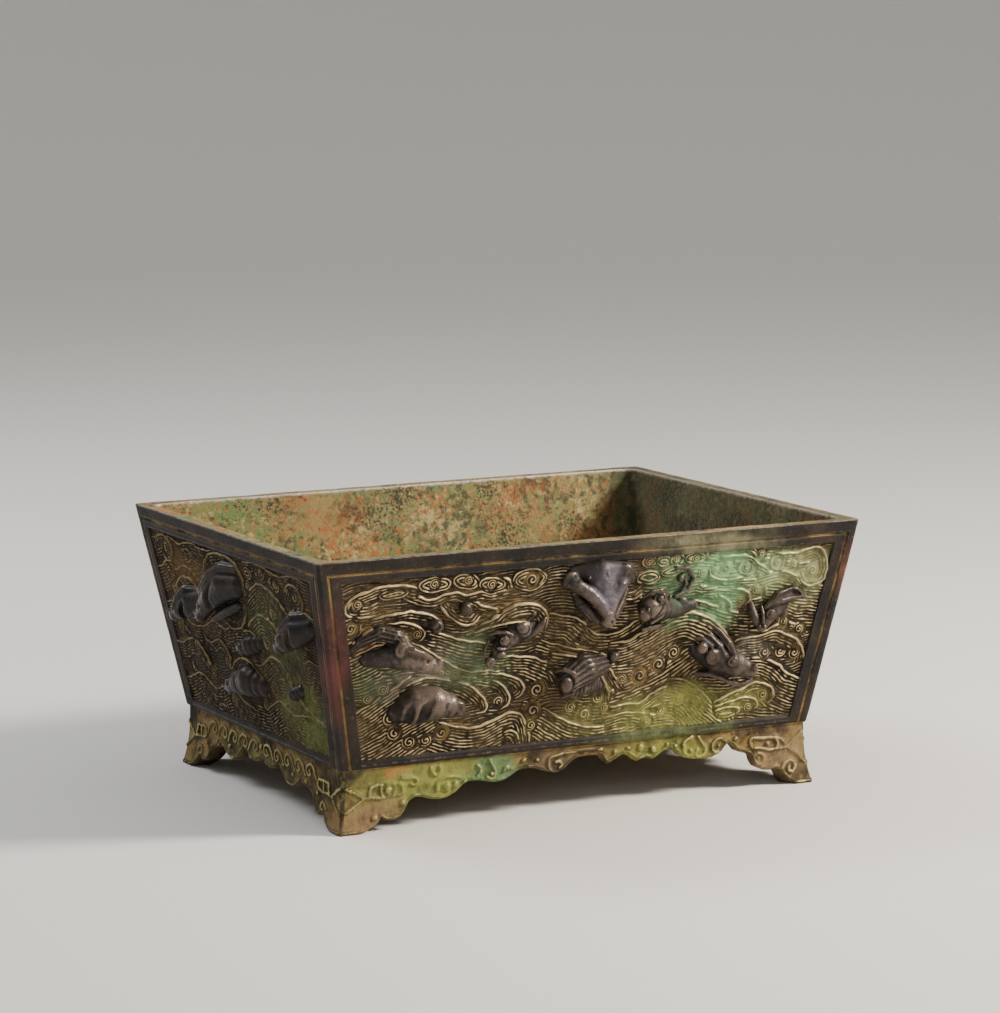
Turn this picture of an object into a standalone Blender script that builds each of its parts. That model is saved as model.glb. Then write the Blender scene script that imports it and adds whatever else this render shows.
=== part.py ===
"""Bronze censer: one tapered rectangular casting on four bracket feet, carved with waves, clouds and sea beasts.

Metres, +Z up. X runs along the long sides, the front is at -Y, and the origin is the centre of the base.
"""

import math

import bmesh
import bpy
from mathutils import Matrix, Vector

# The vessel's driving sizes
RIM_LENGTH = 0.200
RIM_WIDTH = 0.160
BODY_HEIGHT = 0.071
FOOT_HEIGHT = 0.0205
TAPER = 0.013  # each wall leans in by this much from the rim to the base
CORNER_RADIUS = 0.0012
RIM_WALL = 0.0048
LOWER_WALL = 0.0052
FLOOR_THICKNESS = 0.0045
INNER_CORNER_RADIUS = 0.004
CORNER_STEPS = 2

# The foot ring under the body
NECK_INSET = 0.0007  # the ring steps in from the body by this much
FOOT_FLARE = 0.0023  # and spreads by this much down to the ground
FLARE_POWER = 2.6
FLARE_LEVELS = (0.0, 0.16, 0.42, 1.0)
APRON_WALL = 0.0045

# The raised frame round each side: an outer band, an incised groove and an inner band
OUTER_BAND_TOP = 0.0044
OUTER_BAND_SIDE = 0.0032
GROOVE_WIDTH = 0.0007
GROOVE_DEPTH = 0.0006
INNER_BAND_TOP = 0.0026
INNER_BAND_SIDE = 0.0040
INNER_BAND_BOTTOM = 0.0040
PANEL_DEPTH = 0.0013
PANEL_DRAFT = 0.0006  # the bands' inner edges slope by this much

# The carving is drawn in millimetres on sheets of these sizes: half the body's length and width at
# mid height, and the heights of its lower and upper edge. A side of another size stretches its sheet.
SHEET_LONG_HALF = 93.5
SHEET_SHORT_HALF = 73.5
SHEET_LOW = 20.5
SHEET_HIGH = 91.5
DRAWN_UNIT = BODY_HEIGHT / (SHEET_HIGH - SHEET_LOW)
# A long side's sheet is drawn as it looks from its left and above, so what stands proud is drawn
# shifted across and up by these shares of how far it stands out. A short side's is drawn square on.
LONG_SHEET_LEAN = (0.51, -0.35)
SHORT_SHEET_LEAN = (0.0, 0.0)

STROKE_WIDTH = 2.8
STROKE_HEIGHT = 1.2
STROKE_SUNK = 0.8
STROKE_STEP = 6.5
CURL_STEPS = 5
CURL_HEIGHT = 1.5
CURL_WIDTH = 0.56  # a curl's ridge, as a share of its radius
CURL_CLOSING = 0.66  # how much of its radius it loses in its one turn
TUBE_SIDES = 6
THIN_TUBE_SIDES = 4
THIN_TUBE = 1.35  # a tube no thicker than this has the fewer sides
TUBE_END = 0.55  # how far a tube's rounded end reaches, as a share of its radius
WIDE_CUT = 0.05  # how far a cutter runs past the metal

CLEAR = 0.0003

# The scalloped lower edge of the long aprons, from the left foot to the right one: the end of each
# arc in millimetres from the middle and above the ground, and its bow, down where it is above zero.
LONG_APRON_HALF = 81.2
LONG_ARCS = (
    (-73.0, 5.0, 1.2), (-62.4, 8.6, 3.3), (-57.3, 10.2, -0.3), (-42.3, 12.8, 2.9), (-36.0, 12.9, 0.0),
    (-23.6, 14.9, 2.1), (-17.0, 15.0, -0.5), (-4.3, 14.7, 2.4), (8.6, 16.4, -1.4), (10.3, 13.8, 0.2),
    (21.3, 13.7, -2.6), (27.3, 13.6, -0.6), (38.2, 13.5, -2.5), (53.8, 13.8, 2.0), (60.0, 13.0, -2.7),
    (65.8, 11.4, -0.3), (75.4, 6.2, 2.9), (81.2, 0.0, 1.0),
)
# Half of the short aprons' edge, which is mirrored about the middle
SHORT_APRON_HALF = 61.2
SHORT_ARCS = (
    (-54.0, 4.8, 1.2), (-44.5, 8.8, 3.0), (-37.5, 10.4, -0.5), (-31.0, 9.8, -1.2), (-18.0, 12.0, 2.4),
    (-12.5, 12.6, -1.4), (0.0, 13.8, 2.0),
)
ARC_STEPS = 4

# Beasts: each is a list of tubes, and a tube is a list of (x, z, out, radius) on the sheet
LONG_SIDE_BEASTS = {
    "left_dragon": (
        ((-84, 62.5, 0, 1.4), (-79, 65.3, 0.5, 2.2), (-73, 65.8, 1, 2.4), (-68.5, 62.5, 2, 2.2)),
        ((-77, 59, 0, 2.8), (-70, 58.5, 2.5, 3.4), (-64, 57, 4.5, 3.4), (-58.5, 54.5, 6, 2.9), (-55, 52.7, 6.4, 1.8)),
        ((-69, 61.5, 3.2, 0.8), (-66.5, 59.6, 5.5, 1.3)),
    ),
    "shell_beast": (
        ((-67, 37.5, 0, 4.0), (-61, 39.5, 1.6, 6.0), (-54.5, 40, 3, 5.4), (-49.5, 39, 4.2, 3.4), (-45.8, 38.4, 5, 2.0)),
        ((-54, 43.4, 4.6, 1.1), (-57.4, 39.8, 6.4, 1.3), (-61, 33.5, 3.6, 1.1)),
    ),
    "horned_fish": (
        ((-21, 63, 0, 3.0), (-27, 62, 2, 3.5), (-31, 59, 3.8, 2.9), (-33.5, 55.5, 4.6, 2.2)),
        ((-33.5, 54, 2.0, 1.8), (-35, 52.3, 4.0, 2.4)),
        ((-24, 60.5, 2.4, 1.2), (-20, 62.3, 3, 1.3), (-17.6, 65.6, 3, 0.6)),
    ),
    "ram_head": (
        ((1.5, 80.5, 0, 3.6), (3, 76, 3, 4.8), (5, 69, 6.4, 3.4), (7.2, 63, 8, 2.3)),
        ((-8, 78.8, 3.2, 2.3), (-5, 76.2, 4.6, 1.3), (0, 73, 6, 1.2), (4.6, 68, 7.6, 1.0)),
        ((11.6, 79, 3.2, 2.3), (9.5, 75.4, 5, 1.3), (7.3, 71.5, 6.6, 1.1), (6.8, 67, 7.8, 1.0)),
    ),
    "horned_seal": (
        ((38, 66.3, 0, 2.2), (31, 65.3, 1.4, 3.2), (26, 66.6, 3, 4.0), (21.5, 66.3, 5, 3.7)),
        ((31, 69.6, 1.6, 0.9), (36, 71.6, 0.9, 0.9), (37.8, 75.2, 0.6, 0.9), (35.2, 78.6, 0.5, 0.9), (29, 78.4, 0.3, 0.8)),
        ((28, 60.4, 0.2, 1.2), (21, 59.4, 4, 0.9)),
    ),
    "pearl_snail": (
        ((-1, 44.5, 0, 4.6), (-6.5, 43.2, 4.4, 3.6)),
        ((-13, 50.5, 0, 1.2), (-4, 50.3, 0.6, 1.9), (4, 46.5, 0.6, 1.9), (9, 39, 0, 1.2)),
    ),
    "right_dragon": (
        ((42, 51, 0, 3.2), (50, 46.8, 2.2, 4.4), (57, 43.2, 4.3, 3.8), (63.5, 40.3, 5.6, 2.3)),
        ((47, 59, 1.4, 0.9), (51, 53, 3.4, 1.0), (55, 46.5, 5.4, 0.8)),
        ((43.5, 50.5, 3.3, 1.7), (45.5, 48.5, 1.5, 1.2)),
        ((42, 41, 0.6, 0.9), (50, 40.2, 2.4, 1.1), (56, 37.4, 3.2, 0.9)),
    ),
    "duck_head": (
        ((72.5, 64, 0, 3.0), (69, 61.7, 2.6, 3.5), (66.7, 58, 4.8, 2.5), (65.6, 55.6, 5.4, 1.5)),
        ((68, 63.4, 3, 1.0), (73.5, 65.9, 3.2, 1.5), (79.5, 65, 1.4, 0.9)),
    ),
    "cloud_knobs": (
        ((-59.5, 68, 0, 1.5), (-55.6, 66.6, 1.4, 2.4)),
        ((-47, 73.5, 0, 1.6), (-46, 72.4, 1.6, 1.7)),
        ((11.5, 51.5, 0, 1.5), (10.5, 50.8, 1.2, 1.6)),
    ),
}
# The short sides' sheet is drawn square on, and x runs to the right as seen from outside
SHORT_SIDE_BEASTS = {
    "back_otter": (
        ((-34, 62, 0, 3.0), (-39, 61.5, 2.5, 3.7), (-43.5, 59.5, 5.2, 3.2), (-46, 57.5, 6.4, 2.0)),
        ((-36.5, 63.5, 1.6, 1.6), (-42, 64, 4.6, 1.4)),
    ),
    "curled_dragon": (
        ((2, 74, 0, 3.2), (-5, 73, 2, 3.8), (-12, 69, 4.4, 3.8), (-17, 64, 6.4, 3.0), (-20, 60.5, 7, 2.0)),
        ((4, 79, 0.5, 0.9), (-4, 78.5, 2.8, 1.2), (-11, 75, 5, 1.2), (-16, 69.5, 6.8, 0.9)),
        ((0, 66, 0.6, 1.4), (-7, 62.5, 2.8, 1.6), (-14, 60, 4.4, 1.0)),
    ),
    "front_seal": (
        ((59, 67, 0, 2.6), (54.5, 65, 3, 3.8), (50.5, 62.5, 6.2, 3.2), (48.5, 60.5, 7.2, 2.0)),
        ((59, 69.5, 0.2, 1.3), (53.5, 68, 3.4, 1.4), (49.5, 65, 6.4, 1.1)),
    ),
    "small_fish": (
        ((14, 55, 0, 2.2), (9, 54, 2.4, 2.8), (5, 52.5, 4, 1.9)),
    ),
    "low_turtle": (
        ((10, 40, 0, 3.2), (2, 40.5, 2, 4.6), (-6, 39, 4.2, 3.4), (-11, 37, 5, 2.0)),
    ),
    "wave_knob": (
        ((44, 43.5, 0, 2.6), (41, 42.5, 2.4, 2.4)),
    ),
}

# Wave crests and cloud edges: smooth strokes through these sheet points
LONG_SIDE_STROKES = (
    ((-63, 79), (-72, 81.3), (-84, 80), (-88, 76), (-85, 72.9), (-79, 73.3)),
    ((-62, 77), (-55, 76.5), (-43, 77.3), (-31, 76.5)),
    ((-76, 70.3), (-66, 72.2), (-58, 70)),
    ((-64, 61.5), (-55, 56.3), (-47, 52.7), (-39, 50.2)),
    ((-86, 57), (-79, 57.5)),
    ((-84, 42), (-76, 44.6), (-68, 48.6)),
    ((-82, 33), (-74, 36.5)),
    ((-60, 48.7), (-48, 46.8), (-40, 43.5), (-36.3, 39), (-39, 36.6)),
    ((-40, 47.3), (-33, 45.4), (-28.6, 41), (-30.5, 37.6)),
    ((-49, 33), (-42, 31.3), (-35, 32.6), (-28, 35.2), (-23.5, 32), (-20.5, 27.2)),
    ((-40, 64.5), (-31, 69.6), (-23, 70.8), (-17.5, 67)),
    ((-17, 60.5), (-8, 58.5), (0, 55.4), (8, 55), (17, 59.8)),
    ((-19, 30.5), (-12, 28.3), (-2, 27.6), (9, 30), (20, 33)),
    ((9, 50), (20, 53.5), (29, 59.3), (37, 62.4), (45, 59.5), (51, 52.8)),
    ((9, 40), (21, 42), (31, 46.7), (39, 49)),
    ((22, 33.6), (30, 37.6), (36.5, 37.2), (38.4, 33.6), (35.5, 31.6)),
    ((40, 43), (47, 36.4), (54.5, 27.3)),
    ((49, 30), (57, 32), (66, 36.2), (71.3, 33.2), (68.5, 31.2)),
    ((56, 52.8), (68, 54.2), (77, 50.5), (81, 45.5)),
    ((66, 43.3), (73, 41), (78.5, 37.3)),
    ((40, 70.6), (48, 68.3), (52.6, 64.5)),
    ((47, 70.8), (56, 69.8), (59, 67), (56.5, 65)),
    ((44, 77), (49, 74.6), (59, 75), (65, 77.3)),
    ((67, 80.4), (77, 81), (84, 82.3)),
    ((78, 69.6), (83, 67.3)),
)
# Curls of foam and cloud: centre, radius, start angle in degrees and hand
LONG_SIDE_CURLS = (
    (-86, 68.6, 3.2, 60, 1), (-62.3, 65.2, 2.6, 70, -1), (-70, 36.8, 2.9, 40, 1), (-68.3, 31.6, 2.8, 90, 1),
    (-62.6, 28.3, 2.5, 150, 1), (-57, 28.3, 2.4, 170, 1), (-51.3, 30.4, 3.1, 200, 1), (-48.3, 49.8, 2.4, 0, 1),
    (-23.6, 62.6, 3.2, 0, 1), (-22.3, 80, 3.4, 90, -1), (-18.8, 34.6, 3.3, 20, 1), (-17.2, 42.3, 3.0, 160, -1),
    (0.4, 39.8, 2.9, 220, 1), (0.6, 31, 3.0, 40, 1), (20.2, 43.5, 3.2, 120, -1), (27, 46.9, 2.9, 120, -1),
    (33, 50.2, 2.9, 120, -1), (83, 74.2, 5.2, 100, -1), (50.5, 78.8, 2.7, 90, 1), (57, 77.8, 2.8, 90, -1),
    (74.4, 46.6, 2.6, 60, -1), (29.6, 81.9, 2.0, 90, 1),
)
SHORT_SIDE_STROKES = (
    ((-64, 77), (-54, 80.5), (-44, 79), (-34, 81.5), (-22, 80.5)),
    ((-66, 68), (-58, 71.5), (-50, 69.5)),
    ((-62, 50), (-52, 53), (-44, 50), (-36, 52), (-26, 56)),
    ((-60, 41), (-49, 45.5), (-39, 43), (-34, 38), (-37.5, 35)),
    ((-30, 47), (-21, 49), (-15, 45), (-18, 41.5)),
    ((-58, 30), (-46, 33.5), (-33, 30), (-20, 33), (-8, 29.5)),
    ((12, 71), (22, 75), (33, 73.5), (40, 69)),
    ((14, 62), (24, 64.5), (34, 61), (42, 55)),
    ((16, 47), (25, 50.5), (33, 48), (36, 43.5)),
    ((12, 31), (24, 35), (37, 33), (50, 36), (58, 33)),
    ((52, 51), (58, 54), (63, 52.5)),
    ((16, 80.5), (28, 81.5), (42, 79.5), (54, 81.3)),
)
SHORT_SIDE_CURLS = (
    (-57, 63.5, 3.2, 60, 1), (-26, 72.5, 3.0, 90, -1), (-30, 38, 2.8, 20, 1), (-52, 37, 2.8, 60, 1),
    (22, 56.5, 3.0, 40, 1), (20, 40.5, 2.8, 120, -1), (31, 67.8, 2.8, 90, 1), (52, 74.5, 3.2, 90, -1),
    (54, 44, 3.0, 60, 1), (-4, 48, 2.4, 100, 1), (33, 38.5, 2.6, 90, -1),
)
# The hidden back and right side are plainer: they leave out every so many strokes and curls, and
# their beasts have no more tubes than this
HIDDEN_SKIPS = 2
HIDDEN_TUBES = 2


def cleared_scene():
    for item in list(bpy.data.objects):
        bpy.data.objects.remove(item)


def bronze():
    material = bpy.data.materials.new("aged_bronze")
    material.use_nodes = True
    shader = material.node_tree.nodes["Principled BSDF"]
    shader.inputs["Base Color"].default_value = (0.085, 0.066, 0.045, 1)
    shader.inputs["Metallic"].default_value = 0.8
    shader.inputs["Roughness"].default_value = 0.5
    return material


def new_object(name, bm):
    bmesh.ops.recalc_face_normals(bm, faces=bm.faces)
    mesh = bpy.data.meshes.new(name)
    bm.to_mesh(mesh)
    bm.free()
    item = bpy.data.objects.new(name, mesh)
    bpy.context.scene.collection.objects.link(item)
    return item


def guide_group(name):
    group = bpy.data.collections.new(name)
    bpy.context.scene.collection.children.link(group)
    return group


def make_guide(item, group):
    """A cutter or carving that a Boolean reads, and that isn't a piece of its own."""
    item.hide_render = True
    item.display_type = "WIRE"
    bpy.context.scene.collection.objects.unlink(item)
    group.objects.link(item)


def add_boolean(item, name, group, operation):
    boolean = item.modifiers.new(name, "BOOLEAN")
    boolean.operation = operation
    boolean.solver = "EXACT"
    boolean.operand_type = "COLLECTION"
    boolean.collection = group


def body_half(rim_size, height):
    """Half the body's outer size at a height above the ground."""
    share = (height - FOOT_HEIGHT) / BODY_HEIGHT
    return rim_size / 2 - TAPER * (1 - share)


def rounded_ring(bm, half_x, half_y, radius, height):
    ring = []
    for quarter, (side_x, side_y) in enumerate(((1, 1), (-1, 1), (-1, -1), (1, -1))):
        for step in range(CORNER_STEPS + 1):
            angle = math.pi / 2 * (quarter + step / CORNER_STEPS)
            x = side_x * (half_x - radius) + radius * math.cos(angle)
            y = side_y * (half_y - radius) + radius * math.sin(angle)
            ring.append(bm.verts.new((x, y, height)))
    return ring


def bridge(bm, lower, upper):
    for index in range(len(lower)):
        following = (index + 1) % len(lower)
        bm.faces.new((lower[index], lower[following], upper[following], upper[index]))


def lofted(name, rings_of):
    """A closed solid through stacked rings, each (half_x, half_y, radius, height)."""
    bm = bmesh.new()
    rings = [rounded_ring(bm, *values) for values in rings_of]
    for lower, upper in zip(rings, rings[1:]):
        bridge(bm, lower, upper)
    bm.faces.new(list(reversed(rings[0])))
    bm.faces.new(rings[-1])
    return new_object(name, bm)


def casting_block():
    """The outer form: the flared foot ring, the step at its neck and the tapered body."""
    base_x = body_half(RIM_LENGTH, FOOT_HEIGHT)
    base_y = body_half(RIM_WIDTH, FOOT_HEIGHT)
    rings = []
    for share in FLARE_LEVELS:
        spread = FOOT_FLARE * (1 - share) ** FLARE_POWER - NECK_INSET
        rings.append((base_x + spread, base_y + spread, CORNER_RADIUS, FOOT_HEIGHT * share))
    neck = FOOT_HEIGHT + NECK_INSET
    rings.append((body_half(RIM_LENGTH, neck), body_half(RIM_WIDTH, neck), CORNER_RADIUS, neck))
    rings.append((RIM_LENGTH / 2, RIM_WIDTH / 2, CORNER_RADIUS, FOOT_HEIGHT + BODY_HEIGHT))
    return lofted("censer_body", rings)


def cavity_cutter():
    """The hollow inside, its walls parallel to the outer ones, with the true wall at the rim."""
    floor = FOOT_HEIGHT + FLOOR_THICKNESS
    top = FOOT_HEIGHT + BODY_HEIGHT
    slope = (TAPER + LOWER_WALL - RIM_WALL) / BODY_HEIGHT
    past = WIDE_CUT * slope
    low_x = body_half(RIM_LENGTH, floor) - LOWER_WALL
    low_y = body_half(RIM_WIDTH, floor) - LOWER_WALL
    high_x = RIM_LENGTH / 2 - RIM_WALL + past
    high_y = RIM_WIDTH / 2 - RIM_WALL + past
    rings = (
        (low_x, low_y, INNER_CORNER_RADIUS, floor),
        (high_x, high_y, INNER_CORNER_RADIUS, top + WIDE_CUT),
    )
    return lofted("cavity_cutter", rings)


def underside_cutter():
    """The open space inside the foot ring, up to the floor's underside."""
    half_x = body_half(RIM_LENGTH, FOOT_HEIGHT) - NECK_INSET - APRON_WALL
    half_y = body_half(RIM_WIDTH, FOOT_HEIGHT) - NECK_INSET - APRON_WALL
    rings = (
        (half_x, half_y, CORNER_RADIUS, -WIDE_CUT),
        (half_x, half_y, CORNER_RADIUS, FOOT_HEIGHT),
    )
    return lofted("underside_cutter", rings)


def arc_points(start, end, bow):
    """Points after start on a shallow arc that bows to the right of its chord."""
    chord = end - start
    normal = Vector((chord.y, -chord.x)).normalized()
    points = []
    for step in range(1, ARC_STEPS + 1):
        share = step / ARC_STEPS
        points.append(start + chord * share + normal * bow * 4 * share * (1 - share))
    return points


def apron_edge(drawn_half, arcs):
    """The scalloped edge in millimetres, from foot to foot."""
    place = Vector((-drawn_half, 0.0))
    points = [place]
    for x, z, bow in arcs:
        end = Vector((x, z))
        if bow:
            points += arc_points(place, end, bow)
        else:
            points.append(end)
        place = end
    return points


def mirrored_edge(half_points):
    return half_points + [Vector((-p.x, p.y)) for p in reversed(half_points[:-1])]


def apron_cutter(name, edge, half_length, depth, turn):
    """An extrusion of the space below the edge, right through the two opposite aprons."""
    widest = max(abs(p.x) for p in edge)
    inner_half = half_length - NECK_INSET - APRON_WALL - CLEAR
    across = inner_half / widest
    up = FOOT_HEIGHT / SHEET_LOW
    outline = [(p.x * across, p.y * up) for p in edge]
    outline[0] = (outline[0][0], -WIDE_CUT)
    outline[-1] = (outline[-1][0], -WIDE_CUT)
    bm = bmesh.new()
    front = [bm.verts.new((x, -depth, z)) for x, z in outline]
    back = [bm.verts.new((x, depth, z)) for x, z in outline]
    bm.faces.new(front)
    bm.faces.new(list(reversed(back)))
    bridge(bm, front, back)
    bm.transform(Matrix.Rotation(turn, 4, "Z"))
    return new_object(name, bm)


class Side:
    """One of the four leaning sides: x across as seen from outside, y up the slope, z out of the metal."""

    def __init__(self, name, turn, rim_size, other_rim_size, sheet_half, lean, hidden):
        self.name = name
        self.slope = math.atan2(TAPER, BODY_HEIGHT)
        self.height = math.hypot(BODY_HEIGHT, TAPER)
        self.low_half = body_half(rim_size, FOOT_HEIGHT)
        self.high_half = rim_size / 2
        self.stretch = (self.low_half + self.high_half) / 2 / (sheet_half * DRAWN_UNIT)
        self.lean = lean
        self.hidden = hidden
        self.mirror = -1 if hidden else 1
        away = body_half(other_rim_size, FOOT_HEIGHT)
        standing = Matrix.Rotation(math.pi / 2 + self.slope, 4, "X")
        placed = Matrix.Translation((0, -away, FOOT_HEIGHT)) @ standing
        self.matrix = Matrix.Rotation(turn, 4, "Z") @ placed

    def half(self, rise):
        return self.low_half + (self.high_half - self.low_half) * rise / self.height

    def drawn(self, x, z, out=0.0):
        """The place on this side of a point on its sheet that stands proud of the panel by out."""
        true_x = x - self.lean[0] * out
        true_z = z - self.lean[1] * out
        across = self.mirror * true_x * self.stretch * DRAWN_UNIT
        rise = (true_z - SHEET_LOW) / (SHEET_HIGH - SHEET_LOW) * self.height
        return Vector((across, rise, out * DRAWN_UNIT - PANEL_DEPTH))

    def outline(self, side_margin, low_margin, high_margin):
        """A trapezium inside the side's own edges: lower left, lower right, upper right, upper left."""
        low, high = low_margin, self.height - high_margin
        low_x, high_x = self.half(low) - side_margin, self.half(high) - side_margin
        return [(-low_x, low), (low_x, low), (high_x, high), (-high_x, high)]


def panel_cutter(side):
    """The sunk ground inside the frame, its walls drafted."""
    margin = OUTER_BAND_SIDE + GROOVE_WIDTH + INNER_BAND_SIDE
    top_margin = OUTER_BAND_TOP + GROOVE_WIDTH + INNER_BAND_TOP
    widening = PANEL_DRAFT / PANEL_DEPTH * CLEAR
    bm = bmesh.new()
    rings = []
    for inset, out in ((PANEL_DRAFT, -PANEL_DEPTH), (-widening, CLEAR)):
        corners = side.outline(margin + inset, INNER_BAND_BOTTOM + inset, top_margin + inset)
        rings.append([bm.verts.new((x, y, out)) for x, y in corners])
    bridge(bm, rings[0], rings[1])
    bm.faces.new(list(reversed(rings[0])))
    bm.faces.new(rings[1])
    bm.transform(side.matrix)
    return new_object(f"panel_cutter_{side.name}", bm)


def groove_cutter(side):
    """The incised line between the bands: up one edge, across the top and down the other."""
    outer = side.outline(OUTER_BAND_SIDE, -CLEAR, OUTER_BAND_TOP)
    inner = side.outline(OUTER_BAND_SIDE + GROOVE_WIDTH, -CLEAR, OUTER_BAND_TOP + GROOVE_WIDTH)
    order = [outer[0], outer[3], outer[2], outer[1], inner[1], inner[2], inner[3], inner[0]]
    bm = bmesh.new()
    low = [bm.verts.new((x, y, -GROOVE_DEPTH)) for x, y in order]
    high = [bm.verts.new((x, y, CLEAR)) for x, y in order]
    bridge(bm, low, high)
    bm.faces.new(list(reversed(low)))
    bm.faces.new(high)
    bm.transform(side.matrix)
    return new_object(f"groove_cutter_{side.name}", bm)


def smooth_path(points, step):
    """Evenly spaced points on a smooth curve through hand-chosen ones."""
    ends = [points[0] * 2 - points[1]] + points + [points[-1] * 2 - points[-2]]
    path = [points[0]]
    for a, b, c, d in zip(ends, ends[1:], ends[2:], ends[3:]):
        count = max(1, round((c - b).length / step))
        for index in range(1, count + 1):
            t = index / count
            bend = (b * 2 + (c - a) * t + (a * 2 - b * 5 + c * 4 - d) * t**2 + (b * 3 - a - c * 3 + d) * t**3) / 2
            path.append(bend)
    return path


def ridge(side, name, path, width, height):
    """A ridge of triangular section along a sheet path, tapered at both ends and sunk in the ground."""
    bm = bmesh.new()
    rings = []
    for index, place in enumerate(path):
        before = path[max(index - 1, 0)]
        after = path[min(index + 1, len(path) - 1)]
        along = (after - before).normalized()
        aside = Vector((-along.y, along.x))
        end_share = 0.45 if index in (0, len(path) - 1) else 1.0
        half = width / 2 * end_share
        low = -STROKE_SUNK
        section = ((place - aside * half, low), (place + aside * half, low), (place, height * end_share))
        corners = [side.drawn(flat.x, flat.y) + Vector((0, 0, out * DRAWN_UNIT)) for flat, out in section]
        rings.append([bm.verts.new(corner) for corner in corners])
    for lower, upper in zip(rings, rings[1:]):
        bridge(bm, lower, upper)
    bm.faces.new(list(reversed(rings[0])))
    bm.faces.new(rings[-1])
    bm.transform(side.matrix)
    return new_object(name, bm)


def curl_path(x, z, radius, start, hand):
    """A spiral of one turn that closes in on its centre."""
    points = []
    for step in range(CURL_STEPS + 1):
        share = step / CURL_STEPS
        angle = math.radians(start) + hand * math.tau * share
        reach = radius * (1 - CURL_CLOSING * share)
        points.append(Vector((x + reach * math.cos(angle), z + reach * math.sin(angle))))
    return points


def tube(side, name, stations):
    """A round-ended tube through (x, z, out, radius) stations, for a beast's body, snout or horn."""
    centres = [side.drawn(x, z, out) for x, z, out, _ in stations]
    radii = [radius * DRAWN_UNIT for *_, radius in stations]
    sides = THIN_TUBE_SIDES if max(radii) <= THIN_TUBE * DRAWN_UNIT else TUBE_SIDES
    bm = bmesh.new()
    rings = []
    for index, (centre, radius) in enumerate(zip(centres, radii)):
        before = centres[max(index - 1, 0)]
        after = centres[min(index + 1, len(centres) - 1)]
        along = (after - before).normalized()
        aside = along.cross(Vector((0, 0, 1))).normalized()
        over = aside.cross(along)
        ring = []
        for corner in range(sides):
            angle = math.tau * (corner + 0.5) / sides
            ring.append(bm.verts.new(centre + (aside * math.cos(angle) + over * math.sin(angle)) * radius))
        rings.append(ring)
    for lower, upper in zip(rings, rings[1:]):
        bridge(bm, lower, upper)
    first = (centres[0] - centres[1]).normalized() * radii[0] * TUBE_END
    last = (centres[-1] - centres[-2]).normalized() * radii[-1] * TUBE_END
    for ring, tip in ((rings[0], centres[0] + first), (rings[-1], centres[-1] + last)):
        pole = bm.verts.new(tip)
        for index in range(sides):
            bm.faces.new((ring[index], ring[(index + 1) % sides], pole))
    bm.transform(side.matrix)
    return new_object(name, bm)


def thinned(items):
    """All but every so many of the items."""
    return [item for index, item in enumerate(items) if (index + 1) % HIDDEN_SKIPS]


def carve(side, beasts, strokes, curls, group):
    if side.hidden:
        beasts = {name: tubes[:HIDDEN_TUBES] for name, tubes in beasts.items()}
        strokes = thinned(strokes)
        curls = thinned(curls)
    for name, tubes in beasts.items():
        for index, stations in enumerate(tubes):
            make_guide(tube(side, f"{side.name}_{name}_{index}", stations), group)
    for index, points in enumerate(strokes):
        path = smooth_path([Vector(point) for point in points], STROKE_STEP)
        make_guide(ridge(side, f"{side.name}_stroke_{index}", path, STROKE_WIDTH, STROKE_HEIGHT), group)
    for index, curl in enumerate(curls):
        path = curl_path(*curl)
        width = CURL_WIDTH * curl[2]
        make_guide(ridge(side, f"{side.name}_curl_{index}", path, width, CURL_HEIGHT), group)


def sides():
    """The four sides, the hidden ones carved with the mirror image of the ones opposite."""
    long_side = (RIM_LENGTH, RIM_WIDTH, SHEET_LONG_HALF, LONG_SHEET_LEAN)
    short_side = (RIM_WIDTH, RIM_LENGTH, SHEET_SHORT_HALF, SHORT_SHEET_LEAN)
    return (
        Side("front", 0, *long_side, hidden=False),
        Side("back", math.pi, *long_side, hidden=True),
        Side("left", -math.pi / 2, *short_side, hidden=False),
        Side("right", math.pi / 2, *short_side, hidden=True),
    )


def build():
    cleared_scene()
    censer = casting_block()
    cutters = guide_group("cutters")
    carving = guide_group("carving")

    make_guide(cavity_cutter(), cutters)
    make_guide(underside_cutter(), cutters)
    long_edge = apron_edge(LONG_APRON_HALF, LONG_ARCS)
    short_edge = mirrored_edge(apron_edge(SHORT_APRON_HALF, SHORT_ARCS))
    base_x = body_half(RIM_LENGTH, FOOT_HEIGHT)
    base_y = body_half(RIM_WIDTH, FOOT_HEIGHT)
    make_guide(apron_cutter("long_apron_cutter", long_edge, base_x, RIM_WIDTH, 0), cutters)
    make_guide(apron_cutter("short_apron_cutter", short_edge, base_y, RIM_LENGTH, math.pi / 2), cutters)

    long_carving = (LONG_SIDE_BEASTS, LONG_SIDE_STROKES, LONG_SIDE_CURLS)
    short_carving = (SHORT_SIDE_BEASTS, SHORT_SIDE_STROKES, SHORT_SIDE_CURLS)
    for side in sides():
        make_guide(panel_cutter(side), cutters)
        make_guide(groove_cutter(side), cutters)
        carve(side, *(long_carving if side.name in ("front", "back") else short_carving), carving)

    add_boolean(censer, "hollow_and_frame", cutters, "DIFFERENCE")
    add_boolean(censer, "carving", carving, "UNION")
    censer.data.materials.append(bronze())


build()
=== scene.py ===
"""The bronze censer as it looks: cast relief, worn frames, scrolled aprons and an old, uneven patina.

Metres for meshes. The carving is drawn in millimetres on a sheet for each side, x across and z above the ground.
"""

import math

import bpy
import numpy as np
from mathutils import Matrix, Vector


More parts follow.
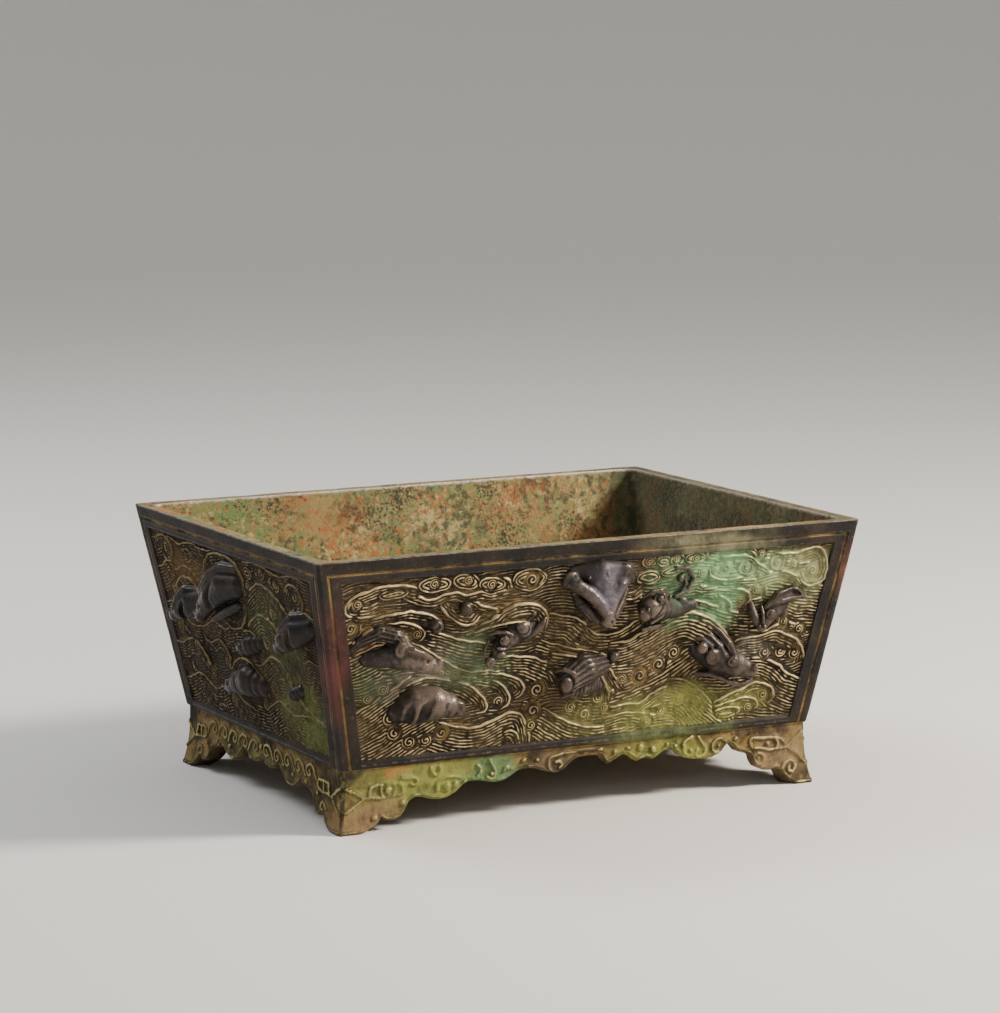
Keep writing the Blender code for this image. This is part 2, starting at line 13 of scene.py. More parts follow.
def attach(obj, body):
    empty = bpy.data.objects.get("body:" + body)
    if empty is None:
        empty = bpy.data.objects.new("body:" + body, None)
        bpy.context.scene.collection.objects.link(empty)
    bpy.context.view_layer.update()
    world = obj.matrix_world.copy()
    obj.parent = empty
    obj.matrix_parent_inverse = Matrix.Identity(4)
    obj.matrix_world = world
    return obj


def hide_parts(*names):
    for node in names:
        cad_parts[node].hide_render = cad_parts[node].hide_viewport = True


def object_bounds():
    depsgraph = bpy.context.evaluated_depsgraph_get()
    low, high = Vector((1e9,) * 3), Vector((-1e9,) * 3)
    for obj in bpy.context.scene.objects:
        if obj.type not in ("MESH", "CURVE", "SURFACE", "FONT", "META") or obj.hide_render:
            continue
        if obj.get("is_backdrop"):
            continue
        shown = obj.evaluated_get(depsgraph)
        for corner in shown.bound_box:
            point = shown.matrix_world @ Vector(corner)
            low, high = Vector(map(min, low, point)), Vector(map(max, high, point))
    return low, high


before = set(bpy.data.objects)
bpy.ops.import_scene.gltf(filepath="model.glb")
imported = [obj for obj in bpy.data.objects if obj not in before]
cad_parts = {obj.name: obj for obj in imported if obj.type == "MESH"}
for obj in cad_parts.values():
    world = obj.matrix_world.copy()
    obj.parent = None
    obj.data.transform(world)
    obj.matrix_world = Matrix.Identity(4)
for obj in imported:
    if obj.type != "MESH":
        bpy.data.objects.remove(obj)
cad_low, cad_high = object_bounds()

# The studio: the camera stands low at the censer's left front corner, with a long lens.
# A soft key light grazes the front from the right, and a strip behind picks out the rim.
CAMERA_PLACE = Vector((-0.59089, -1.21310, 0.28277))
CAMERA_AZIMUTH = -0.455870
CAMERA_ELEVATION = 0.139776
CAMERA_ROLL = -0.0098208
CAMERA_LENS = 140.75
CENSER_MIDDLE = Vector((0.0, 0.0, 0.045))


def linear(code, alpha=1.0):
    """An sRGB hex colour as linear red, green, blue and alpha."""
    channels = [int(code[i : i + 2], 16) / 255 for i in (1, 3, 5)]
    return [c / 12.92 if c <= 0.04045 else ((c + 0.055) / 1.055) ** 2.4 for c in channels] + [alpha]


def add_node(tree, kind, inputs=None, **settings):
    """A new node with its settings, and its inputs set to values or linked to other nodes' outputs."""
    item = tree.nodes.new(kind)
    for key, value in settings.items():
        setattr(item, key, value)
    for key, value in (inputs or {}).items():
        if isinstance(value, bpy.types.NodeSocket):
            tree.links.new(value, item.inputs[key])
        else:
            item.inputs[key].default_value = value
    return item


def link_object(name, data):
    item = bpy.data.objects.new(name, data)
    bpy.context.scene.collection.objects.link(item)
    return item


def soft_light(name, place, size, power, tint):
    """A rectangular lamp at this place, turned to the middle of the censer."""
    lamp = bpy.data.lights.new(name, "AREA")
    lamp.shape = "RECTANGLE"
    lamp.size, lamp.size_y = size
    lamp.energy = power
    lamp.color = linear(tint)[:3]
    item = link_object(name, lamp)
    item.location = place
    item.rotation_euler = (CENSER_MIDDLE - Vector(place)).to_track_quat("-Z", "Y").to_euler()


camera = link_object("camera", bpy.data.cameras.new("camera"))
level_right = Vector((math.cos(CAMERA_AZIMUTH), math.sin(CAMERA_AZIMUTH), 0))
looking = Vector((
    -math.sin(CAMERA_AZIMUTH) * math.cos(CAMERA_ELEVATION),
    math.cos(CAMERA_AZIMUTH) * math.cos(CAMERA_ELEVATION),
    -math.sin(CAMERA_ELEVATION),
))
level_up = level_right.cross(looking)
camera_right = level_right * math.cos(CAMERA_ROLL) + level_up * math.sin(CAMERA_ROLL)
camera_up = level_up * math.cos(CAMERA_ROLL) - level_right * math.sin(CAMERA_ROLL)
turned = Matrix((camera_right, camera_up, -looking)).transposed()
camera.matrix_world = Matrix.Translation(CAMERA_PLACE) @ turned.to_4x4()
camera.data.lens = CAMERA_LENS
camera.data.clip_end = 100
bpy.context.scene.camera = camera

soft_light("key_light", (0.80, -0.50, 0.66), (0.26, 0.26), 26.0, "#FFF4E6")
soft_light("fill_light", (-0.35, -1.2, 0.5), (0.8, 0.5), 2.4, "#F2F5FF")
soft_light("rim_light", (-0.5, 0.75, 0.85), (0.7, 0.3), 8.0, "#F7F8FF")

overhead = bpy.data.lights.new("overhead_light", "SUN")
overhead.energy, overhead.angle = 0.9, math.radians(80)
link_object("overhead_light", overhead)

world = bpy.data.worlds.new("studio")
world.use_nodes = True
world.node_tree.nodes["Background"].inputs["Color"].default_value = linear("#E9E9E6")
world.node_tree.nodes["Background"].inputs["Strength"].default_value = 0.2
bpy.context.scene.world = world

# The floor: pale matt paper, flat under the censer and swept up all round, so that no horizon shows.
# Its outline is a list of rings, each a radius and a height, joined by quads.
FLOOR_FLAT, SWEEP_RADIUS, SWEEP_ANGLE, SWEEP_SEGMENTS = 2.2, 1.6, 1.45, 96
sweep = [(0.01, 0.0), (FLOOR_FLAT / 2, 0.0)] + [
    (FLOOR_FLAT + SWEEP_RADIUS * math.sin(a), SWEEP_RADIUS * (1 - math.cos(a)))
    for a in np.linspace(0, SWEEP_ANGLE, 20)]
around = np.arange(SWEEP_SEGMENTS) * math.tau / SWEEP_SEGMENTS
floor_points = [(r * math.cos(a), r * math.sin(a), z) for r, z in sweep for a in around]
floor_faces = [list(range(SWEEP_SEGMENTS))]
for ring in range(len(sweep) - 1):
    for i in range(SWEEP_SEGMENTS):
        j = (i + 1) % SWEEP_SEGMENTS
        a, b = ring * SWEEP_SEGMENTS, (ring + 1) * SWEEP_SEGMENTS
        floor_faces.append([a + i, b + i, b + j, a + j])
floor_mesh = bpy.data.meshes.new("floor")
floor_mesh.from_pydata(floor_points, [], floor_faces)
floor_mesh.shade_smooth()
floor_finish = bpy.data.materials.new("floor_paper")
floor_finish.use_nodes = True
floor_finish.node_tree.nodes["Principled BSDF"].inputs["Base Color"].default_value = linear("#DEDCD7")
floor_finish.node_tree.nodes["Principled BSDF"].inputs["Roughness"].default_value = 0.9
floor_mesh.materials.append(floor_finish)
floor = link_object("floor", floor_mesh)
floor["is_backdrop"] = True

# The casting: one tapered rectangular vessel on a ring of four bracket feet, in leaded bronze.
# Its sizes in millimetres, which every piece below is worked out from.
RIM_LENGTH = 200.0
RIM_WIDTH = 160.0
FOOT_HEIGHT = 20.5
BODY_HEIGHT = cad_high.z * 1000 - FOOT_HEIGHT
TAPER = 13.0
RIM_WALL = 4.8
LOWER_WALL = 5.2
FLOOR_THICKNESS = 4.5
CORNER_RADIUS = 1.2
OUTER_BAND_TOP = 4.4
OUTER_BAND_SIDE = 3.2
GROOVE_WIDTH = 0.7
INNER_BAND_TOP = 2.6
INNER_BAND_SIDE = 4.0
INNER_BAND_BOTTOM = 4.0
PANEL_DEPTH = 1.3
SLOPE = math.atan2(TAPER, BODY_HEIGHT)
SLOPE_HEIGHT = math.hypot(TAPER, BODY_HEIGHT)
# The long sides' drawing looks at them from the left and above, so what stands out is drawn shifted.
LONG_LEAN = (0.51, -0.35)
# The share of its drawn height that a beast keeps, which holds it inside the solid's reach.
LONG_STAND, SHORT_STAND = 0.985, 0.9


class Side:
    """One leaning side: x across as seen from outside, y up the slope and z out of the metal, in millimetres."""

    def __init__(self, turn, rim_size, other_rim_size, lean, mirrored):
        self.turn = turn
        self.low_half = rim_size / 2 - TAPER
        self.high_half = rim_size / 2
        self.away = other_rim_size / 2 - TAPER
        self.lean = lean
        self.stand = LONG_STAND if rim_size == RIM_LENGTH else SHORT_STAND
        self.mirror = -1 if mirrored else 1

    def half(self, rise):
        return self.low_half + (self.high_half - self.low_half) * rise / SLOPE_HEIGHT

    def rise_of(self, z):
        return (z - FOOT_HEIGHT) / BODY_HEIGHT * SLOPE_HEIGHT

    def world(self, across, rise, out):
        """Points on this side as an array of metres in the frame's own axes."""
        y = -self.away - rise * math.sin(SLOPE) - out * math.cos(SLOPE)
        z = FOOT_HEIGHT + rise * math.cos(SLOPE) - out * math.sin(SLOPE)
        c, s = math.cos(self.turn), math.sin(self.turn)
        return np.stack([across * c - y * s, across * s + y * c, z], axis=-1) / 1000


FRONT = Side(0, RIM_LENGTH, RIM_WIDTH, LONG_LEAN, False)
BACK = Side(math.pi, RIM_LENGTH, RIM_WIDTH, LONG_LEAN, True)
LEFT = Side(-math.pi / 2, RIM_WIDTH, RIM_LENGTH, (0, 0), False)
RIGHT = Side(math.pi / 2, RIM_WIDTH, RIM_LENGTH, (0, 0), True)


def solid(name, vertices, faces, wear_and_painted_highlight, finishes, finish_of=None):
    """A finished piece of the casting that rides on the body, with its wear, on the relief crests and beasts partly a
    painted highlight, stored on its vertices.
    """
    mesh = bpy.data.meshes.new(name)
    mesh.from_pydata(vertices.reshape(-1, 3).tolist(), [], faces)
    mesh.attributes.new("wear_and_painted_highlight", "FLOAT", "POINT").data.foreach_set("value", wear_and_painted_highlight.astype(np.float32).ravel())
    for finish in finishes:
        mesh.materials.append(finish)
    if finish_of is not None:
        mesh.polygons.foreach_set("material_index", finish_of)
    mesh.shade_smooth()
    mesh.validate()
    item = link_object(name, mesh)
    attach(item, "root")
    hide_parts("censer_body")
    return item


# Leaded bronze, cast and smoked for centuries: a dark brown skin that is rubbed on the high edges,
# ochre earth packed into the lines, and green copper salts in broken patches. On the relief crests and the beasts the
# rubbed colour is partly a painted highlight. Only rubbed metal shines.
SKIN_DARK = "#0E0B09"
SKIN_WARM = "#2A2019"
EARTH_DEEP = "#5F4828"
EARTH_OCHRE = "#A08349"
EARTH_PALE = "#BFAE7E"
GRAIN_SIZE = 0.0007
SPECK_SIZE = 0.0018
BLOTCH_SIZE = 0.011
# A stain's edge wanders: its place is moved by up to this many metres by a noise of this size.
DRIFT_SIZE = 0.017
DRIFT_REACH = 0.026


def laid_over(tree, under, over, value, start, finish, most=1.0):
    """One finish laid over another as a value goes from start to finish, up to a share of most."""
    share = add_node(tree, "ShaderNodeMapRange", {
        "Value": value, "From Min": start, "From Max": finish, "To Max": most}, interpolation_type="SMOOTHSTEP")
    under, over = [linear(c) if isinstance(c, str) else c for c in (under, over)]
    return add_node(tree, "ShaderNodeMix", {0: share.outputs[0], 6: under, 7: over}, data_type="RGBA").outputs[2]


def patina(name, stains, earth=1.0, crest=0.62, rub_and_highlight=("#8E8273", 0.92, 0.75), polish=0.42):
    """Aged bronze with earth up to the crest, a rubbed colour above a wear that on relief crests and beasts is partly
    a painted highlight, and stained.

    A rub and highlight is its hex colour, the wear where it starts and its most share. A stain is its hex colour,
    middle and reach in metres, strength and how much of it the crests keep. Polish is the roughness of the crests.
    """
    material = bpy.data.materials.new(name)
    material.use_nodes = True
    tree = material.node_tree
    shader = tree.nodes["Principled BSDF"]
    shader.inputs["Specular IOR Level"].default_value = 0.3
    place = add_node(tree, "ShaderNodeTexCoord").outputs["Object"]
    wear_and_painted_highlight = add_node(tree, "ShaderNodeAttribute", attribute_name="wear_and_painted_highlight").outputs["Fac"]
    blotch = add_node(tree, "ShaderNodeTexNoise", {
        "Vector": place, "Scale": 1 / BLOTCH_SIZE, "Detail": 6.0, "Roughness": 0.6}).outputs["Fac"]
    speck = add_node(tree, "ShaderNodeTexNoise", {
        "Vector": place, "Scale": 1 / SPECK_SIZE, "Detail": 4.0, "Roughness": 0.6}).outputs["Fac"]
    grain = add_node(tree, "ShaderNodeTexNoise", {
        "Vector": place, "Scale": 1 / GRAIN_SIZE, "Detail": 3.0}).outputs["Fac"]
    lowered = add_node(tree, "ShaderNodeMath", {0: speck, 1: 0.5, 2: -0.25}, operation="MULTIPLY_ADD")
    shaken = add_node(tree, "ShaderNodeMath", {0: wear_and_painted_highlight, 1: lowered.outputs[0]}).outputs[0]

    # A dark skin, warmer in blotches, with earth in the lines and the crests rubbed through both; on relief crests
    # and beasts this pale rubbed colour is partly a painted highlight
    skin = laid_over(tree, SKIN_DARK, SKIN_WARM, blotch, 0.35, 0.68)
    soil = laid_over(tree, EARTH_DEEP, EARTH_OCHRE, blotch, 0.36, 0.62)
    soil = laid_over(tree, soil, EARTH_PALE, speck, 0.5, 0.78)
    caked = add_node(tree, "ShaderNodeMapRange", {
        "Value": blotch, "From Min": 0.36, "From Max": 0.6, "To Min": 0.3 * earth, "To Max": earth}).outputs[0]
    colour = laid_over(tree, skin, soil, shaken, crest, crest - 0.34, caked)
    hex_rub_and_highlight, rub_and_highlight_start, rub_and_highlight_most = rub_and_highlight
    rub_and_highlight_share = add_node(tree, "ShaderNodeMapRange", {
        "Value": blotch, "From Min": 0.62, "From Max": 0.38,
        "To Min": 0.35 * rub_and_highlight_most, "To Max": rub_and_highlight_most}).outputs[0]
    colour = laid_over(tree, colour, hex_rub_and_highlight, shaken, rub_and_highlight_start, rub_and_highlight_start + 0.3, rub_and_highlight_share)

    # Stains with wandering, broken edges, which lie in the lines more than on the crests
    drift = add_node(tree, "ShaderNodeTexNoise", {"Vector": place, "Scale": 1 / DRIFT_SIZE, "Detail": 5.0})
    warped = add_node(tree, "ShaderNodeVectorMath", {0: drift.outputs["Color"], 1: (DRIFT_REACH,) * 3, 2: place},
                      operation="MULTIPLY_ADD").outputs[0]
    flecks = add_node(tree, "ShaderNodeMath", {0: speck, 1: 0.6, 2: blotch}, operation="MULTIPLY_ADD").outputs[0]
    for code, middle, reach, strength, on_crests in stains:
        away = add_node(tree, "ShaderNodeVectorMath", {0: warped, 1: tuple(c + DRIFT_REACH / 2 for c in middle)},
                        operation="SUBTRACT").outputs[0]
        scaled = add_node(tree, "ShaderNodeVectorMath", {0: away, 1: tuple(1 / r for r in reach)},
                          operation="MULTIPLY").outputs[0]
        far = add_node(tree, "ShaderNodeVectorMath", {0: scaled}, operation="LENGTH").outputs["Value"]
        broken = add_node(tree, "ShaderNodeMapRange", {
            "Value": flecks, "From Min": 0.6, "From Max": 0.95, "To Min": 0.25 * strength, "To Max": strength})
        kept = add_node(tree, "ShaderNodeMapRange", {
            "Value": wear_and_painted_highlight, "From Min": 0.4, "From Max": 0.85, "To Min": broken.outputs[0], "To Max": 0.0})
        if on_crests:
            kept_high = add_node(tree, "ShaderNodeMath", {0: broken.outputs[0], 1: on_crests}, operation="MULTIPLY")
            tree.links.new(kept_high.outputs[0], kept.inputs["To Max"])
        colour = laid_over(tree, colour, code, far, 1.05, 0.3, kept.outputs[0])

    # Only the rubbed metal shines, and casting grain and pits break up its highlight
    metal = add_node(tree, "ShaderNodeMapRange", {
        "Value": shaken, "From Min": rub_and_highlight_start - 0.05, "From Max": rub_and_highlight_start + 0.3, "To Max": 0.55})
    dullness = add_node(tree, "ShaderNodeMapRange", {
        "Value": shaken, "From Min": 0.35, "From Max": 1.05, "To Min": 0.9, "To Max": polish})
    pits = add_node(tree, "ShaderNodeBump", {"Height": grain, "Strength": 0.4, "Distance": 0.0003})
    swells = add_node(tree, "ShaderNodeBump", {"Height": speck, "Strength": 0.35, "Distance": 0.0006,
                                               "Normal": pits.outputs[0]})
    for socket, output in (("Base Color", colour), ("Metallic", metal.outputs[0]), ("Roughness", dullness.outputs[0]),
                           ("Normal", swells.outputs[0])):
        tree.links.new(output, shader.inputs[socket])
    return material


# The vessel: four leaning walls with double frames, a worn rim, and the hollow with its flat floor.
# One cast shell. Each frame is a flat band, a fine groove and a second band that slopes to the panel.
GROOVE_DEPTH = 0.6
BAND_DRAFT = 0.7
LEDGE_BEVEL = 2.1
PLATE_BED = 0.45
NECK_INSET = 0.7
EDGE_RADIUS = 0.45
CORNER_STEPS = 7
FINE_STEP = 0.33
COARSE_STEP = 4.0
INNER_CORNER_RADIUS = 4.0
FLOOR_FILLET = 2.5
CASTING_SWELL = 0.09


def eased(value):
    """From 0 to 1 with a soft start and a soft end."""
    t = np.clip(value, 0, 1)
    return t * t * (3 - 2 * t)


def ripple(places, length, seed):
    """A smooth uneven field between about -1 and 1, with swells of this length in millimetres."""
    rng = np.random.default_rng(seed)
    total = np.zeros(places.shape[:-1])
    waves = 14
    for _ in range(waves):
        direction = rng.normal(size=3)
        direction *= math.tau / (length * rng.uniform(0.6, 1.8) * np.linalg.norm(direction))
        total += np.sin(places @ direction + rng.uniform(0, math.tau))
    return total / math.sqrt(waves)


def side_stations(half, start, fine_until):
    """Positions across one side, fine near both corners and coarse between."""
    fine = np.linspace(start, fine_until, round((fine_until - CORNER_RADIUS) / FINE_STEP), endpoint=False)
    middle = np.linspace(-1, 1, 2 * round((half - fine_until) / COARSE_STEP) + 1)
    return fine, middle


def loop(half_x, half_y, radius, fine_until, reference):
    """Places around a rounded rectangle, their outward normals, distance from the corner and side sizes."""
    places, normals, from_corner = [], [], []
    for half, other, full in ((half_x, half_y, reference[0]), (half_y, half_x, reference[1])) * 2:
        fine, middle = side_stations(full, radius, fine_until)
        inner = half - fine_until
        across = np.concatenate([fine - half, inner * middle, half - fine[::-1]])
        gap = np.minimum(across + half, half - across)
        side_places = np.stack([across, np.full(len(across), -other)], axis=1)
        side_normals = np.tile([0.0, -1.0], (len(across), 1))
        angles = np.linspace(-math.pi / 2, 0, CORNER_STEPS + 1)[1:-1]
        bend = np.stack([np.cos(angles), np.sin(angles)], axis=1)
        arc = np.array([half - radius, radius - other]) + radius * bend
        places.append(np.vstack([side_places, arc]))
        normals.append(np.vstack([side_normals, bend]))
        from_corner.append(np.concatenate([gap, np.full(len(arc), radius * 0.5)]))
    turned_places, turned_normals = [], []
    for quarter, (p, n) in enumerate(zip(places, normals)):
        c, s = (1, 0, -1, 0)[quarter], (0, 1, 0, -1)[quarter]
        turn = np.array([[c, s], [-s, c]])
        turned_places.append(p @ turn)
        turned_normals.append(n @ turn)
    return np.vstack(turned_places), np.vstack(turned_normals), np.concatenate(from_corner)


def frame_depth(from_corner, rise):
    """How deep the frame's face lies under its front, and how worn it is."""
    band_x, band_top = OUTER_BAND_SIDE + GROOVE_WIDTH, OUTER_BAND_TOP + GROOVE_WIDTH
    from_top = SLOPE_HEIGHT - rise
    above_ledge = min((from_top - band_top - INNER_BAND_TOP) / BAND_DRAFT,
                      (rise - INNER_BAND_BOTTOM + LEDGE_BEVEL / 2) / LEDGE_BEVEL)
    # From 0 where the inner band ends to 1 down on the panel's bed
    into_panel = np.minimum((from_corner - band_x - INNER_BAND_SIDE) / BAND_DRAFT, above_ledge)
    groove_at = np.minimum(from_corner - band_x, from_top - band_top) + GROOVE_WIDTH / 2
    groove = eased(1.35 - np.abs(groove_at) / (GROOVE_WIDTH / 2))
    depth = (PANEL_DEPTH + PLATE_BED) * eased(into_panel + 0.25) + GROOVE_DEPTH * groove
    # The edges beside the groove and the panel stand highest, so they are rubbed bright
    lip = np.exp(-((into_panel + 0.6) / 0.35) ** 2) + np.exp(-((np.abs(groove_at) - 0.75) / 0.28) ** 2)
    wear_and_painted_highlight = 0.62 + 0.3 * np.clip(lip, 0, 1) - 0.75 * groove - 0.6 * eased(into_panel)
    return depth, wear_and_painted_highlight


VESSEL_REFERENCE = (RIM_LENGTH / 2, RIM_WIDTH / 2)
FRAME_SPAN = OUTER_BAND_SIDE + GROOVE_WIDTH + INNER_BAND_SIDE + 1.5
RIM_FACE_WEAR = 0.74
vessel_rows, vessel_wear = [], []


def vessel_row(half_x, half_y, radius, z, out, wear_and_painted_highlight, shrink=1.0):
    """Add one level loop of points to the vessel, moved out from its wall, with their wear."""
    places, normals, from_corner = loop(half_x, half_y, radius, FRAME_SPAN, VESSEL_REFERENCE)
    places = places * shrink + normals * np.reshape(out, (-1, 1)) * math.cos(SLOPE)
    heights = z - out * math.sin(SLOPE) + np.zeros(len(places))
    vessel_rows.append(np.column_stack([places, heights]))
    vessel_wear.append(np.broadcast_to(wear_and_painted_highlight, heights.shape))


def walled(rise):
    """The outer half sizes at a distance up the slope."""
    inset = TAPER * (1 - rise / SLOPE_HEIGHT)
    return RIM_LENGTH / 2 - inset, RIM_WIDTH / 2 - inset


base_half = walled(0)
# The underside of the floor, then the neck that stands in the foot ring
for shrink in (0.05, 0.4, 0.75, 0.93):
    vessel_row(base_half[0] - NECK_INSET, base_half[1] - NECK_INSET, CORNER_RADIUS, FOOT_HEIGHT, 0, 0.35, shrink)
vessel_row(base_half[0] - NECK_INSET, base_half[1] - NECK_INSET, CORNER_RADIUS, FOOT_HEIGHT, 0, 0.1)
bottom_rises = np.arange(NECK_INSET, INNER_BAND_BOTTOM + LEDGE_BEVEL, FINE_STEP)
top_start = SLOPE_HEIGHT - OUTER_BAND_TOP - GROOVE_WIDTH - INNER_BAND_TOP - 1.2
middle_rises = np.linspace(bottom_rises[-1], top_start, 24)[1:]
top_rises = np.arange(top_start, SLOPE_HEIGHT - EDGE_RADIUS, FINE_STEP)[1:]
# Up the outer wall, with close rows where the frame's bands are and wide ones behind the panel
for rise in np.concatenate([bottom_rises, middle_rises, top_rises]):
    half_x, half_y = walled(rise)
    corner_gap = loop(half_x, half_y, CORNER_RADIUS, FRAME_SPAN, VESSEL_REFERENCE)[2]
    depth, wear_and_painted_highlight = frame_depth(corner_gap, rise)
    worn_corner = 0.25 * np.exp(-((corner_gap - 1.2) / 0.9) ** 2)
    vessel_row(half_x, half_y, CORNER_RADIUS, FOOT_HEIGHT + rise * math.cos(SLOPE), -depth, wear_and_painted_highlight + worn_corner)
outer_rows = len(vessel_rows)
rim_z = FOOT_HEIGHT + BODY_HEIGHT
# The rim: its outer edge, its flat face and its inner edge
for angle in np.linspace(0, math.pi / 2, 4):
    reach = EDGE_RADIUS * (1 - math.cos(angle))
    half_x, half_y = walled(SLOPE_HEIGHT)
    vessel_row(half_x - reach, half_y - reach, CORNER_RADIUS, rim_z - EDGE_RADIUS * (1 - math.sin(angle)), 0, 1.0)
for inset in np.linspace(EDGE_RADIUS, RIM_WALL - EDGE_RADIUS, 6)[1:]:
    radius = CORNER_RADIUS + (INNER_CORNER_RADIUS - CORNER_RADIUS) * inset / RIM_WALL
    vessel_row(half_x - inset, half_y - inset, radius, rim_z, 0, RIM_FACE_WEAR)
for angle in np.linspace(0, math.pi / 2, 4)[1:]:
    inset = RIM_WALL - EDGE_RADIUS * (1 - math.sin(angle))
    vessel_row(half_x - inset, half_y - inset, INNER_CORNER_RADIUS, rim_z - EDGE_RADIUS * (1 - math.cos(angle)), 0,
               0.95)
floor_z = FOOT_HEIGHT + FLOOR_THICKNESS
inner_slope = (TAPER + LOWER_WALL - RIM_WALL) / BODY_HEIGHT
# Down the inner wall, round the fillet and across the floor
for z in np.linspace(rim_z - EDGE_RADIUS, floor_z + FLOOR_FILLET, 30)[1:]:
    inset = RIM_WALL + inner_slope * (rim_z - z)
    vessel_row(half_x - inset, half_y - inset, INNER_CORNER_RADIUS, z, 0, 0.5)
for angle in np.linspace(0, math.pi / 2, 6)[1:]:
    inset = RIM_WALL + inner_slope * (rim_z - floor_z) + FLOOR_FILLET * (1 - math.cos(angle))
    vessel_row(half_x - inset, half_y - inset, INNER_CORNER_RADIUS, floor_z + FLOOR_FILLET * (1 - math.sin(angle)), 0,
               0.4)
for shrink in (0.95, 0.86, 0.72, 0.55, 0.35, 0.15, 0.03):
    vessel_row(half_x - inset, half_y - inset, INNER_CORNER_RADIUS, floor_z, 0, 0.4, shrink)


def ring_piece_faces(rows, columns, closed_rows=False):
    """Quads between rows of a loop, each row joined to the next and round to its own start."""
    first = np.arange(rows if closed_rows else rows - 1)[:, None] * columns
    above = (first + columns) % (rows * columns)
    here = np.arange(columns)[None, :]
    ahead = (here + 1) % columns
    return np.stack([first + here, first + ahead, above + ahead, above + here], axis=-1).reshape(-1, 4)


vessel_points = np.stack(vessel_rows)
vessel_wear = np.stack(vessel_wear)
row_count, column_count = vessel_wear.shape
# Nothing on a casting is quite straight: slow swells everywhere, and finer dents in the rim.
swell = CASTING_SWELL * ripple(vessel_points, 22, 1) + 0.5 * CASTING_SWELL * ripple(vessel_points, 5, 2)
swell[vessel_points[..., 2] < FOOT_HEIGHT + 0.3] = 0
outward = vessel_points[..., :2] / np.linalg.norm(vessel_points[..., :2], axis=-1, keepdims=True)
inward_only = -np.abs(swell)
vessel_points[..., :2] += outward * np.where(vessel_wear > 0.9, inward_only, np.minimum(swell, 0.0))[..., None]
rim_rows = (vessel_points[..., 2] > rim_z - 0.1)
vessel_points[..., 2] += np.where(rim_rows, -np.abs(0.12 * ripple(vessel_points, 9, 3)), 0)
vessel_faces = ring_piece_faces(row_count, column_count)
vessel_finish = np.repeat(np.where(np.arange(row_count - 1) < outer_rows + 3, 0, 1), column_count)
last_ring = (row_count - 1) * column_count
caps = [list(range(column_count))[::-1], list(range(last_ring, last_ring + column_count))]
# The frames: a smoked, nearly black skin, maroon at the front corner, with pale rubbed specks along the edges
frame_patina = patina(
    "dark_patinated_bronze_frames",
    (
        ("#5C2C27", (-0.091, -0.074, 0.058), (0.009, 0.02, 0.024), 0.75, 1.0),
        ("#7C4832", (0.097, -0.075, 0.066), (0.007, 0.03, 0.020), 0.7, 1.0),
        ("#8F8C68", (0.047, -0.080, 0.088), (0.036, 0.02, 0.008), 0.62, 0.9),
        ("#6F7C45", (0.034, -0.069, 0.023), (0.036, 0.02, 0.006), 0.6, 1.0),
    ),
    earth=0.85, rub_and_highlight=("#A2947E", 0.84, 0.75),
)


# The inside was never polished: a crust of sage green, tan, rust and dark spots, one to three millimetres wide.
INSIDE_CRUSTS = (
    ("#667843", 0.0045, 0.33, 0.52, 0.95), ("#947848", 0.0030, 0.40, 0.60, 0.85),
    ("#9A5826", 0.0024, 0.50, 0.64, 0.85), ("#B3A26E", 0.0020, 0.53, 0.68, 0.75),
    ("#2A2B1C", 0.0026, 0.51, 0.66, 0.8), ("#5E7046", 0.0014, 0.50, 0.68, 0.7),
    ("#8F4A20", 0.0011, 0.56, 0.68, 0.85), ("#191912", 0.0010, 0.54, 0.68, 0.85),
)
CRUST_BED_SIZE = 0.012
CRUST_SPREAD = 0.022
CRUST_LUMP_SIZE = 0.0022


